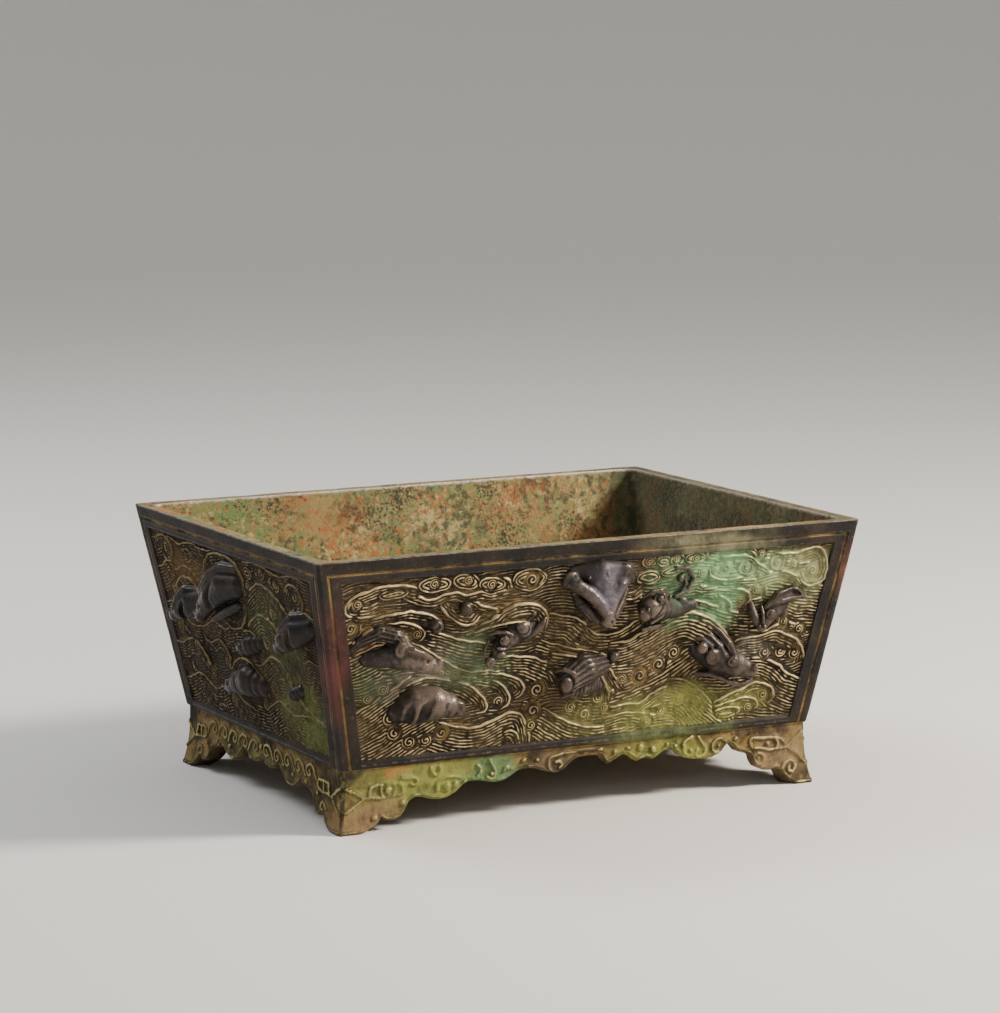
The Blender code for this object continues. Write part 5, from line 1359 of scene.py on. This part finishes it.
# The short sides: the same sea, with an otter, a dragon on a curled neck, a seal and a turtle rising from it.
# The left one is seen in full; the right one is its mirror image, plainer, as the founder's hidden work is.
SHORT_STEP, SHORT_STEP_ACROSS = 0.3, 0.5
SHORT_BEAST_STEP = 0.44
HIDDEN_STEP, HIDDEN_STEP_ACROSS = 0.45, 0.64
SHORT_SWELLS = (
    (-42, 60, 12, 8, 1.3, 0), (-12, 68, 14, 10, 1.6, 0), (50, 62, 12, 8, 1.2, 0), (0, 40, 12, 8, 1, 0),
    (24, 60, 12, 7, 0.9, -20), (-50, 76, 10, 6, 0.7, 0), (40, 38, 14, 7, 0.7, 15), (-44, 40, 12, 7, 0.8, 0),
)
SHORT_FLOWS = (
    (((-74, 79.5), (-64, 81.5), (-54, 83), (-44, 81.4), (-34, 83.4), (-22, 82.4), (-8, 84)), 7, -1, 0.3),
    (((-74, 69), (-65, 71), (-58, 73.6), (-50, 72), (-42, 74), (-34, 72), (-26, 68)), 9, -1, 0.4),
    (((-72, 57), (-62, 58.6), (-54, 57), (-46, 53.5), (-36, 53.6), (-26, 57)), 9, -1, 0.4),
    (((10, 71), (17, 74), (24, 77), (33, 76), (42, 72), (50, 67), (60, 63)), 9, -1, 0.5, (1, 1.05)),
    (((46, 57), (52, 54.6), (58, 56), (68, 55)), 10, -1, 0.3),
    (((6, 59), (14, 63.4), (22, 66), (31, 64.6), (39, 59.6), (46, 54)), 10, -1, 0.8, (1, 1.1)),
    (((-24, 57), (-14, 56), (-5, 58), (5, 58.4), (14, 55)), 8, -1, 0.3),
    (((-68, 44), (-58, 44.6), (-49, 47.4), (-41, 46), (-35, 41.4), (-34.4, 37), (-37.6, 35)), 6, -1, 0.7, (1, 0.9)),
    (((-38, 51), (-30, 49), (-22, 51), (-15.4, 47.6), (-15, 43), (-18, 41)), 4, -1, 0.7, (1, 0.9)),
    (((-68, 30.6), (-58, 32), (-46, 35.6), (-34, 32), (-21, 35), (-9, 31.6), (5, 29)), 12, -1, 0.5),
    (((6, 47), (15, 48), (25, 52.4), (33, 51), (38, 46.4), (37, 42)), 6, -1, 0.8, (1, 0.95)),
    (((26, 45), (34, 45.6), (42, 42.4), (51, 37.6), (62, 34.6), (70, 35)), 14, -1, 0.6),
    (((2, 31.6), (12, 32.6), (24, 37), (37, 34.6), (50, 36), (64, 32)), 12, -1, 0.5),
    (((-56, 62), (-52, 67), (-45, 70), (-37, 69.4), (-31, 65.4), (-29.6, 60)), 5, -1, 0.9),
    (((-26, 74), (-18, 80.6), (-8, 83), (4, 82.4), (11, 78), (12.6, 71)), 5, -1, 0.9),
    (((-24, 66), (-16, 60), (-6, 57.6), (4, 60), (9, 66)), 3, 1, 0.6),
    (((42, 61), (44, 67), (50, 71.4), (58, 73), (67, 71)), 4, -1, 0.8),
    (((-17, 40), (-11, 44.6), (-3, 47.6), (6, 46.6), (13, 42.4), (15.6, 36)), 5, -1, 0.8),
    (((2, 57.4), (9, 58.6), (15, 57), (18, 52)), 3, -1, 0.5),
    (((12, 83), (28, 84), (42, 82), (54, 83.8), (67, 82.6)), 4, -1, 0.4),
    (((-68, 79), (-62, 82.4), (-55, 82.6), (-50, 79.4), (-51.6, 75.4), (-57, 74), (-62, 76)), 3, -1, 0.7),
    (((46, 77), (51, 80.4), (58, 80), (61, 76), (58, 72.6), (53, 72.8)), 3, -1, 0.7),
)
SHORT_OVALS = (
    (38, 78.6, 4.2, 1.9, -6), (27, 80.6, 4, 1.8, 4), (-38, 79.6, 4.6, 2, 0), (-30, 26.6, 4, 1.4, 0),
    (44, 26.8, 4.2, 1.4, 0), (16, 79.4, 3.2, 1.9, 0),
)
SHORT_CURLS = (
    (-57, 63.5, 2.6, 60, 1), (-26, 72.5, 2.5, 90, -1), (-33.6, 37.6, 2.2, 20, 1), (-52, 37, 2.3, 60, 1),
    (22, 56.5, 2.6, 40, 1), (20, 40.5, 2.3, 120, -1), (31, 67.8, 2.4, 90, 1), (54, 76.4, 2.8, 90, -1),
    (54, 44, 2.6, 60, 1), (-4.6, 49.6, 1.9, 100, 1), (33, 39, 2.2, 90, -1), (-57.4, 78.4, 2.8, 60, -1),
    (-19.4, 43.6, 1.9, 30, -1), (-59, 50, 2, 90, 1), (-46, 45.4, 1.8, 0, 1), (35.4, 46.6, 2, 0, -1),
    (13.6, 74.6, 1.9, 70, 1), (61, 66, 2, 90, 1), (9, 33, 1.8, 90, -1), (-20, 30, 2, 40, 1), (64, 46, 1.9, 20, -1),
    (-66, 36, 2, 20, 1), (27, 80.6, 1.5, 0, 1), (38, 78.6, 1.5, 0, -1),
)
SHORT_BEASTS = {
    "back_otter": (
        ("add", 0, limb((-31, 63, -0.6, 4.2), (-38, 62, 2, 5), (-43, 60, 4.6, 4), (-46.4, 57.8, 6, 2.6))),
        ("add", 0.8, ball(-47, 57.4, 6.8, 2.3, 2.1, 1.9)),
        ("add", 0.9, limb((-34, 66.4, 0.8, 1.5), (-39, 66.6, 3.8, 2), (-43.6, 63.8, 6.2, 1.2), lines=(6, 0.35))),
        *eye(-43.6, 60.6, 8.2, 1),
        ("cut", 0.3, limb((-49.2, 56.6, 7.6, 0.4), (-45.8, 54.8, 7.8, 0.5), (-41.6, 56, 6.8, 0.4))),
        ("cut", 0.6, limb((-37.4, 63.6, 7.2, 0.7), (-39.6, 59.2, 6.6, 1.1), (-40.4, 55.6, 5, 0.9))),
        ("add", 0.3, ball(-48.6, 58.9, 7.9, 0.8)),
    ),
    "curled_dragon": (
        ("add", 0, limb((4, 73.4, -0.6, 4.4), (-4, 72.8, 1.6, 5.4), (-11.6, 69.2, 4, 4.8), (-17, 64.8, 5.8, 3.4),
                        (-20, 61.6, 6.6, 2.4))),
        ("add", 0.8, ball(-20.2, 61.2, 7.2, 2.6, 2.3, 2)),
        ("add", 1, limb((6, 79.4, 0.2, 1.8), (-3, 79.2, 2.2, 2.2), (-10.6, 75.6, 4.6, 2.3), (-15.6, 70.4, 6.8, 1.7),
                        lines=(6, 0.4))),
        ("add", 0.9, limb((2, 66.2, 0.2, 1.8), (-6.4, 63.4, 2.4, 2), (-13.2, 60.6, 4.6, 1.4))),
        *eye(-16.2, 65.6, 8.5, 1.1),
        ("cut", 0.6, limb((-6.6, 74.4, 6.8, 0.7), (-9.6, 69, 8.2, 1.2), (-10.6, 63.6, 6.6, 1.1))),
        ("cut", 0.3, limb((-22.6, 60.2, 8.2, 0.4), (-19.4, 58.4, 8.2, 0.5), (-15.4, 59.8, 7.2, 0.4))),
        ("add", 0.2, ball(-21.8, 62.6, 8.4, 0.85)),
    ),
    "front_seal": (
        ("add", 0, limb((62, 67.6, -0.6, 3.6), (55.4, 65.6, 2.4, 5), (50.6, 63.2, 5.2, 4), (48, 60.9, 6.6, 2.5))),
        ("add", 0.7, ball(47.4, 60.4, 7.4, 2.2, 1.9, 1.8)),
        ("add", 0.9, limb((61, 71.4, -0.2, 1.8), (54.5, 70.4, 3, 2.2), (49.6, 66.8, 6, 1.4), lines=(6, 0.35))),
        *eye(51, 64.2, 8.6, 1.05),
        ("cut", 0.3, limb((45.2, 59.8, 8.2, 0.4), (48.4, 58.2, 8.4, 0.5), (52.2, 59.2, 7.2, 0.4))),
        ("cut", 0.6, limb((56.2, 67.4, 7.2, 0.7), (55, 62.8, 7, 1.1), (54.4, 59, 4.8, 0.9))),
        ("add", 0.3, ball(46.2, 61.8, 8.3, 0.8)),
    ),
    "small_fish": (
        ("add", 0, limb((16, 55.4, -0.6, 2.8), (9.6, 54.2, 2, 3.6), (4.6, 52.7, 3.6, 2.3), rings=(2.6, 0.3))),
        *eye(6.6, 53.8, 5.8, 0.8),
        ("cut", 0.2, limb((2.6, 52.6, 5.2, 0.35), (5.6, 51.6, 5.6, 0.35))),
    ),
    "low_turtle": (
        ("add", 0, limb((12, 40, -0.6, 3.8), (2.6, 40.9, 1.4, 5.6), (-4, 39.6, 3.2, 4.2), rings=(3.2, 0.45))),
        ("add", 0.4, limb((-4, 39.2, 3.8, 3.1), (-8, 38.2, 4.6, 2.8), (-11, 37.2, 5, 2.1))),
        *eye(-7.8, 39.4, 6.9, 0.95),
        ("cut", 0.2, limb((-13, 36.6, 6.2, 0.35), (-10, 35.6, 6.6, 0.4), (-7, 36.2, 6, 0.35))),
        ("add", 0.15, ball(-11.8, 38.2, 6.6, 0.65)),
    ),
    "wave_knob": (
        ("add", 0, limb((44, 43.5, 0, 2.6), (41, 42.5, 2.4, 2.4), rings=(1.5, 0.35))),
    ),
}
SHORT_DRAWING = (SHORT_SWELLS, SHORT_FLOWS, SHORT_OVALS, SHORT_CURLS)
# The left side: darker than the front, partly as painted shade, its ridges a dull gold that is partly a painted
# highlight, with green low down at the front
left_patina = patina(
    "dark_patinated_bronze_left",
    (
        ("#6E7C3E", (-0.080, -0.045, 0.034), (0.03, 0.032, 0.018), 0.75, 0.35),
        ("#56683C", (-0.085, -0.030, 0.060), (0.03, 0.030, 0.020), 0.5, 0.3),
        ("#A07A3A", (-0.092, 0.045, 0.068), (0.03, 0.026, 0.018), 0.35, 0.2),
        ("#77423A", (-0.094, -0.070, 0.058), (0.03, 0.006, 0.022), 0.5, 1.0),
    ),
    earth=0.35, crest=0.4, rub_and_highlight=("#9C8758", 0.58, 0.8),
)
HIDDEN_FORMS = 7
HIDDEN_BEAST_STEP = 0.6


def plainer(beasts):
    """The hidden sides' beasts keep only their first few forms, which drops some of their folds and eyes."""
    return {name: forms[:HIDDEN_FORMS] for name, forms in beasts.items()}


left_relief = relief_pieces(LEFT, SHORT_STEP_ACROSS, SHORT_STEP, SHORT_DRAWING, left_patina, ("left_relief",))
curls_piece("left_foam_curls", LEFT, left_relief, SHORT_CURLS, left_patina)
beasts_piece("left_beasts", LEFT, SHORT_BEASTS, dark_shaded_beast_patina, SHORT_BEAST_STEP)

# The hidden sides: between the front and the left in colour, with the same greens in other places
hidden_patina = patina(
    "dark_patinated_bronze_hidden",
    (
        ("#6E7C46", (0.095, 0.030, 0.032), (0.03, 0.040, 0.014), 0.6, 0.35),
        ("#6D9078", (-0.045, 0.078, 0.075), (0.035, 0.02, 0.014), 0.7, 0.6),
        ("#7F8446", (0.030, 0.070, 0.030), (0.045, 0.02, 0.012), 0.65, 0.35),
        ("#7A4434", (0.070, 0.078, 0.060), (0.016, 0.02, 0.018), 0.4, 0.7),
    ),
    earth=0.42, crest=0.42, rub_and_highlight=("#AC976A", 0.57, 0.85),
)
plain_short = (SHORT_SWELLS, SHORT_FLOWS, SHORT_OVALS[::2], SHORT_CURLS[::2])
right_relief = relief_pieces(RIGHT, HIDDEN_STEP_ACROSS, HIDDEN_STEP, plain_short, hidden_patina, ("right_relief",))
curls_piece("right_foam_curls", RIGHT, right_relief, SHORT_CURLS[::2], hidden_patina)
beasts_piece("right_beasts", RIGHT, plainer(SHORT_BEASTS), dark_shaded_beast_patina, HIDDEN_BEAST_STEP)

# The back: the front's sea in mirror image, a little plainer, since it stood to the wall.
plain_long = (FRONT_SWELLS, FRONT_FLOWS, FRONT_OVALS[::2], FRONT_CURLS[::2])
back_relief = relief_pieces(BACK, HIDDEN_STEP_ACROSS, HIDDEN_STEP, plain_long, hidden_patina, ("back_relief",))
curls_piece("back_foam_curls", BACK, back_relief, FRONT_CURLS[::2], hidden_patina)
beasts_piece("back_beasts", BACK, plainer(FRONT_BEASTS), dark_shaded_beast_patina, HIDDEN_BEAST_STEP)

# The foot ring: four bracket feet joined by scalloped aprons, cast in one with the vessel.
# Its face flares out to the ground and carries cords, scrolls and dots in low relief.
FOOT_FLARE = 2.3
FLARE_POWER = 2.6
APRON_WALL = 4.5
CORNER_REACH = 7.0
APRON_STEP = 0.5
APRON_ROWS = 32
RING_TOP = FOOT_HEIGHT + 0.6
ARC_SAMPLES = 8
LONG_EDGE = (
    (-81.5, 0), (-80, 0.3), (-78, 1.0), (-76, 1.9), (-74.2, 3.2), (-73.4, 4.8), (-72.6, 4.3), (-71.5, 3.6),
    (-69, 3.3), (-66.5, 4.1), (-65, 5.6), (-64, 7.2), (-62.8, 8.9), (-61.4, 9.6), (-60, 9.9), (-58, 9.7),
    (-55.5, 8.8), (-52, 8.3), (-49, 8.7), (-46, 10), (-43.5, 12), (-42.3, 12.9), (-40.5, 13.2), (-37, 13),
    (-34, 12.3), (-31, 11.8), (-28, 12.2), (-25.5, 13.5), (-23, 14.9), (-20, 15.3), (-17, 15), (-14, 14), (-11, 13),
    (-9, 12.6), (-6.5, 13.4), (-4, 15.3), (-2, 16.7), (0, 17.2), (4, 17.3), (7, 17), (8.6, 16), (10.3, 13.8),
    (12, 14.4), (14, 15.5), (16, 16.4), (18, 16), (20, 14.7), (21.3, 13.6), (22.4, 13.9), (24.5, 14.5), (26.4, 14),
    (27.5, 13.6), (29, 14.5), (31, 15.8), (33, 16.3), (35, 16), (37.5, 14.5), (38.5, 13.5), (40, 12.9), (43, 12.2),
    (47, 11.8), (50, 12.1), (52.5, 12.9), (53.8, 13.8), (55, 15.2), (56.5, 16.4), (58.5, 15), (60.2, 13),
    (62.5, 12.3), (64.5, 11.7), (65.8, 10.7), (66.3, 8.7), (67.5, 6.9), (69.5, 5.9), (72, 5.6), (74.6, 6.2),
    (76.0, 5.4), (77.5, 3.5), (79, 2), (80.4, 1.2), (81.5, 0),
)
SHORT_ARCS = (
    (-54, 4.8, 1.2), (-44.5, 8.8, 3), (-37.5, 10.4, -0.5), (-31, 9.8, -1.2), (-18, 12, 2.4), (-12.5, 12.6, -1.4),
    (0, 13.8, 2),
)


def arc_edge(start, arcs):
    """The half of a scalloped edge given as arcs, each with its end and how far it bows down."""
    points, place = [start], np.array(start, float)
    for x, z, bow in arcs:
        chord = np.array([x, z]) - place
        normal = np.array([chord[1], -chord[0]]) / np.hypot(*chord)
        for t in np.arange(1, ARC_SAMPLES + 1) / ARC_SAMPLES:
            points.append(tuple(place + chord * t + normal * bow * 4 * t * (1 - t)))
        place = np.array([x, z])
    return points


short_half = arc_edge((-61.5, 0), SHORT_ARCS)
SHORT_EDGE = short_half + [(-x, z) for x, z in reversed(short_half[:-1])]


def ring_half(rim_size, z):
    """Half the foot ring's size at a height, which flares out to the ground."""
    spread = FOOT_FLARE * np.clip(1 - z / FOOT_HEIGHT, 0, 1) ** FLARE_POWER - NECK_INSET
    return rim_size / 2 - TAPER + spread


def apron_columns(edge, neck_half):
    """Positions across one apron, one at each point of its edge, and the height of the edge at each."""
    xs, zs = np.array([p[0] for p in edge]), np.array([p[1] for p in edge])
    xs = np.concatenate([[-(neck_half - CORNER_RADIUS)], xs, [neck_half - CORNER_RADIUS]])
    zs = np.concatenate([[0], zs, [0]])
    columns = []
    for a, b in zip(xs, xs[1:]):
        steps = max(1, round((b - a) / APRON_STEP))
        columns += [a + (b - a) * i / steps for i in range(steps)]
    columns = np.array(columns + [xs[-1]])
    return columns, np.interp(columns, xs, zs)


CORD_WIDTH = 0.62
CORD_HEIGHT = 0.75
APRON_BASE_WEAR = 0.45
# Cords laid on the long aprons, each through a few points, in millimetres across and up
LONG_CORDS = (
    ((-86, 15.6), (-82.6, 13.6), (-79.2, 11.4), (-82.4, 9.4), (-86, 7.2)), ((-79.2, 11.4), (-76.6, 11.2)),
    ((-76.6, 14.4), (-77, 12.4), (-75.6, 11.2), (-70, 11.2), (-65.4, 11.8), (-65, 13.2), (-65.8, 14.8), (-70, 15.1),
     (-75, 15.1), (-76.6, 14.4)), ((-72.4, 15), (-72.7, 13), (-72.2, 11.3)),
    ((-68.2, 15), (-67.9, 13), (-68.4, 11.4)),
    ((-65.5, 16.6), (-63.4, 16.4), (-61, 16.4), (-59.4, 15.2), (-60.6, 13.9), (-62, 14.4)),
    ((-54.6, 19), (-54.6, 17.4), (-52.8, 16.3), (-51.2, 17.4), (-51.4, 19)),
    ((-44, 14.6), (-46.6, 15.4), (-49.6, 15.2), (-52.4, 13.6), (-52.6, 11.4)),
    ((-34.4, 14), (-33, 13.4), (-31.6, 14), (-31.4, 15.6), (-32.4, 17.6), (-33.4, 19.4)),
    ((-28.6, 15.4), (-27.2, 16.8), (-25.6, 16)), ((-38, 14.6), (-36.6, 16.2), (-37.6, 18)),
    ((-5, 19.2), (-8.4, 18.8), (-11.2, 17.8), (-12, 15.6), (-10.4, 13.5), (-7.4, 13.4), (-5.6, 14.8)),
    ((-9.2, 16.6), (-7.6, 16.8), (-6.8, 15.4), (-8, 14.6)), ((-5, 19.2), (0, 18.9), (5, 18.8), (8, 19)),
    ((39, 17.4), (40, 19), (42.4, 19.6)), ((39.2, 17), (39, 15), (40.6, 13.4), (42.2, 14.2), (41.6, 15.6)),
    ((45, 19.4), (46, 17.6), (47.4, 15.6), (46.8, 13.4), (44.8, 12.8), (43.4, 14), (44.4, 15.2)),
    ((55.4, 17.2), (53.6, 18.4), (51.2, 17.8), (50, 16), (50.8, 14.4), (52.4, 14)),
    ((64.6, 15.6), (65.4, 17), (70, 16.9), (75, 16.6), (77.4, 15.2), (78.4, 12.8), (74, 12.9), (68, 13.4),
     (65.2, 14.2), (64.6, 15.6)), ((74.8, 16.6), (75.6, 14.8), (75, 12.9)),
    ((65.6, 11.2), (68, 11.8), (69.8, 10.4), (69.2, 8.6), (67.2, 8.2), (66.6, 9.6), (67.8, 10)),
    ((76.8, 6), (78.4, 7.8), (80.6, 8), (82, 6.4), (81.2, 4.6), (79.4, 4.8), (79.6, 6)),
    ((86, 18.4), (82.6, 15.8), (79.6, 13), (82.4, 10.4), (86, 7.4)), ((78.4, 12.8), (79.6, 13)),
)
LONG_STUDS = (
    (-75.6, 4.6, 1.1), (-65.2, 8.6, 1.2), (-70.2, 13.2, 1.5), (-49.2, 12.2, 1.7), (-46.2, 12.9, 1.5),
    (-42.6, 13.4, 0.9), (-37, 15.6, 0.7), (-32.6, 14.8, 0.7), (-27, 16, 0.7), (22.6, 18, 1.4), (27.6, 17.2, 1.2),
    (18, 18.4, 0.8), (-21, 18, 0.8), (-16, 17.6, 0.7), (32.6, 18.2, 0.7), (36, 17.4, 0.7), (13, 17.6, 0.8),
    (52.6, 16, 0.6), (71.6, 15, 1.0), (59, 17.6, 0.7),
)
# The short aprons carry a running wave scroll, the same on both halves
WAVE_SCROLL = (
    (-5.4, 14.6), (-3.6, 17.2), (-1, 18.7), (1.8, 18.2), (2.6, 16.2), (1, 14.9), (-0.6, 15.8), (0.4, 16.9),
)
SHORT_CORDS = (
    ((-66, 15.6), (-62.6, 13.4), (-59.6, 11.2), (-62.4, 9), (-66, 6.8)), ((-59.6, 11.2), (-57, 11.4)),
    ((-56.6, 14.6), (-57, 12), (-51, 12), (-48.4, 13.2), (-49, 15.4), (-56, 15.4), (-56.6, 14.6)),
    ((-53, 15.4), (-53, 12)), ((-55.6, 6.4), (-54, 8.4), (-51.6, 8), (-51.6, 6.2), (-53.4, 6)),
    *(tuple((x + c, z) for x, z in WAVE_SCROLL) for c in (-41.5, -32.5, -23.5, -14.5, -5.5)),
)
SHORT_STUDS = ((-48, 10.6, 0.9), (-38.6, 12.4, 0.8), (-27.6, 13, 0.8), (-18.8, 14.6, 0.6), (0, 17.2, 1.1))


def apron_relief(x, z, low, cords, studs):
    """The low relief on one apron: a cord along its edge, then cords and studs."""
    relief = Relief(x, z)
    relief.height = 0.1 * ripple(np.stack([x, z, 0 * x], axis=-1), 4, 7) + relief.rough
    rise = z - low
    # A cord follows the scalloped edge, with a shallow line above it
    relief.height += 0.5 * np.exp(-(((rise - 0.9) / 0.55) ** 2)) - 0.18 * np.exp(-(((rise - 2.1) / 0.5) ** 2))
    for points in cords:
        line = smooth_line(points, 0.6)
        part = relief.window(line.min(0) - 3, line.max(0) + 3)
        away = nearest(line, relief.x[part], relief.z[part])[0]
        cord = CORD_HEIGHT * (np.clip(1 - (away / CORD_WIDTH) ** 2, 0, None) ** 0.5)
        beside = -0.2 * np.exp(-(((away - 1.05) / 0.35) ** 2))
        relief.height[part] = np.maximum(relief.height[part] + beside, cord)
    for stud_x, stud_z, radius in studs:
        far = np.hypot(relief.x - stud_x, relief.z - stud_z) / radius
        relief.height = np.maximum(relief.height, 1.0 * np.clip(1 - far**2, 0, None) ** 0.6)
        relief.height -= 0.25 * np.exp(-(((far - 1.35) / 0.25) ** 2))
    return relief


def on_apron(quarter, normal, on_arc, x, away, z, out):
    """Places on one apron, where on_arc is 1 for the columns that go round the corner."""
    local_x = x + on_arc * normal[:, 0] * CORNER_RADIUS + normal[:, 0] * out
    turned = np.where(on_arc > 0, normal[:, 1], -1)
    local_y = -away + on_arc * CORNER_RADIUS * (1 + normal[:, 1]) + turned * out
    c, s = (1, 0, -1, 0)[quarter], (0, 1, 0, -1)[quarter]
    return np.stack([local_x * c - local_y * s, local_x * s + local_y * c, z + 0 * x], axis=-1)


apron_points, apron_wear = [], []
for quarter, (edge, size, other, flip) in enumerate((
    (LONG_EDGE, RIM_LENGTH, RIM_WIDTH, 1), (SHORT_EDGE, RIM_WIDTH, RIM_LENGTH, -1),
    (LONG_EDGE, RIM_LENGTH, RIM_WIDTH, -1), (SHORT_EDGE, RIM_WIDTH, RIM_LENGTH, 1),
)):
    if flip == -1:
        edge = [(-x, z) for x, z in reversed(edge)]
    cords, studs = (LONG_CORDS, LONG_STUDS) if size == RIM_LENGTH else (SHORT_CORDS, SHORT_STUDS)
    if size == RIM_WIDTH:
        cords += tuple(tuple((-px, pz) for px, pz in points) for points in cords)
        studs += tuple((-px, pz, radius) for px, pz, radius in studs)
    neck = ring_half(size, FOOT_HEIGHT)
    across, low = apron_columns(edge, neck)
    angles = np.linspace(-math.pi / 2, 0, CORNER_STEPS + 1)[1:-1]
    straight, fixed = neck - CORNER_RADIUS, edge[-1][0]
    column_x = np.concatenate([across, np.full(len(angles), straight)])
    column_low = np.concatenate([low, np.zeros(len(angles))])
    normal = np.vstack([np.tile([0.0, -1.0], (len(across), 1)), np.stack([np.cos(angles), np.sin(angles)], axis=1)])
    on_arc = np.concatenate([np.zeros(len(across)), np.ones(len(angles))])
    share = np.linspace(0, 1, APRON_ROWS)[:, None]
    z = column_low + 0.35 + (RING_TOP - column_low - 0.35) * share
    half, away = ring_half(size, z), ring_half(other, z)
    stretch = (half - CORNER_RADIUS - fixed) / (straight - fixed)
    beyond = np.clip(np.abs(column_x) - fixed, 0, None)
    x = np.sign(column_x) * (np.abs(column_x) - beyond + beyond * stretch)
    relief = apron_relief(x * flip, z, column_low, cords, studs)
    height = np.where(on_arc > 0, 0, relief.height) * eased((FOOT_HEIGHT + 0.2 - z) / 0.8)
    low_out = ring_half(other, column_low)
    inner_away = ring_half(other, FOOT_HEIGHT) - APRON_WALL
    inner_straight = straight - APRON_WALL
    bent = np.clip(np.abs(column_x) - (inner_straight - CORNER_REACH), 0, None)
    inner_x = np.sign(column_x) * (np.abs(column_x) - bent * APRON_WALL / (CORNER_REACH + APRON_WALL))
    # The rows start behind, at the top, run down and under the edge, and then up the face
    rows = [on_apron(quarter, normal, on_arc, *place, 0) for place in (
        (inner_x, inner_away, np.full(column_x.shape, RING_TOP)), (inner_x, inner_away, (RING_TOP + column_low) / 2),
        (inner_x, inner_away, column_low + 0.4), (inner_x, inner_away + 0.3, column_low),
        ((x[0] + inner_x) / 2, (inner_away + low_out) / 2, column_low), (x[0], low_out - 0.35, column_low),
        (x[0], low_out - 0.1, column_low + 0.1),
    )]
    apron_points.append(np.concatenate([np.stack(rows), on_apron(quarter, normal, on_arc, x, away, z, height)]))
    raised = relief.height - blurred(relief.height, 3)
    wear_and_painted_highlight = np.where(on_arc > 0, 0.72, np.clip(0.46 + 1.3 * raised, 0, 1.0))
    apron_wear.append(np.concatenate([np.full((len(rows), len(column_x)), APRON_BASE_WEAR), wear_and_painted_highlight]))
apron_points = np.concatenate(apron_points, axis=1)
apron_wear = np.concatenate(apron_wear, axis=1)
# The aprons: mostly yellow-green, with rust, teal and brown patches and paler cords
apron_patina = patina(
    "verdigris_bronze_aprons",
    (
        ("#848C42", (-0.052, -0.070, 0.014), (0.040, 0.03, 0.014), 0.85, 0.8),
        ("#A96A38", (-0.066, -0.068, 0.018), (0.009, 0.03, 0.005), 0.8, 0.8),
        ("#8C7352", (-0.078, -0.072, 0.004), (0.016, 0.03, 0.010), 0.7, 1.0),
        ("#4F7D58", (-0.033, -0.068, 0.015), (0.014, 0.03, 0.010), 0.8, 0.7),
        ("#54463C", (-0.012, -0.068, 0.014), (0.012, 0.03, 0.010), 0.7, 0.8),
        ("#8F9540", (0.035, -0.068, 0.016), (0.026, 0.03, 0.010), 0.85, 0.7),
        ("#867050", (0.076, -0.072, 0.008), (0.020, 0.03, 0.014), 0.7, 1.0),
        ("#5E6A42", (-0.092, 0.0, 0.012), (0.02, 0.06, 0.012), 0.3, 0.4),
    ),
    earth=0.62, crest=0.62, rub_and_highlight=("#BDB070", 0.64, 0.85),
)
solid("foot_ring", apron_points / 1000, ring_piece_faces(*apron_wear.shape, closed_rows=True).tolist(), apron_wear,
      [apron_patina])

size = {"cad": [list(cad_low), list(cad_high)], "visual": [list(corner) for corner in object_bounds()]}
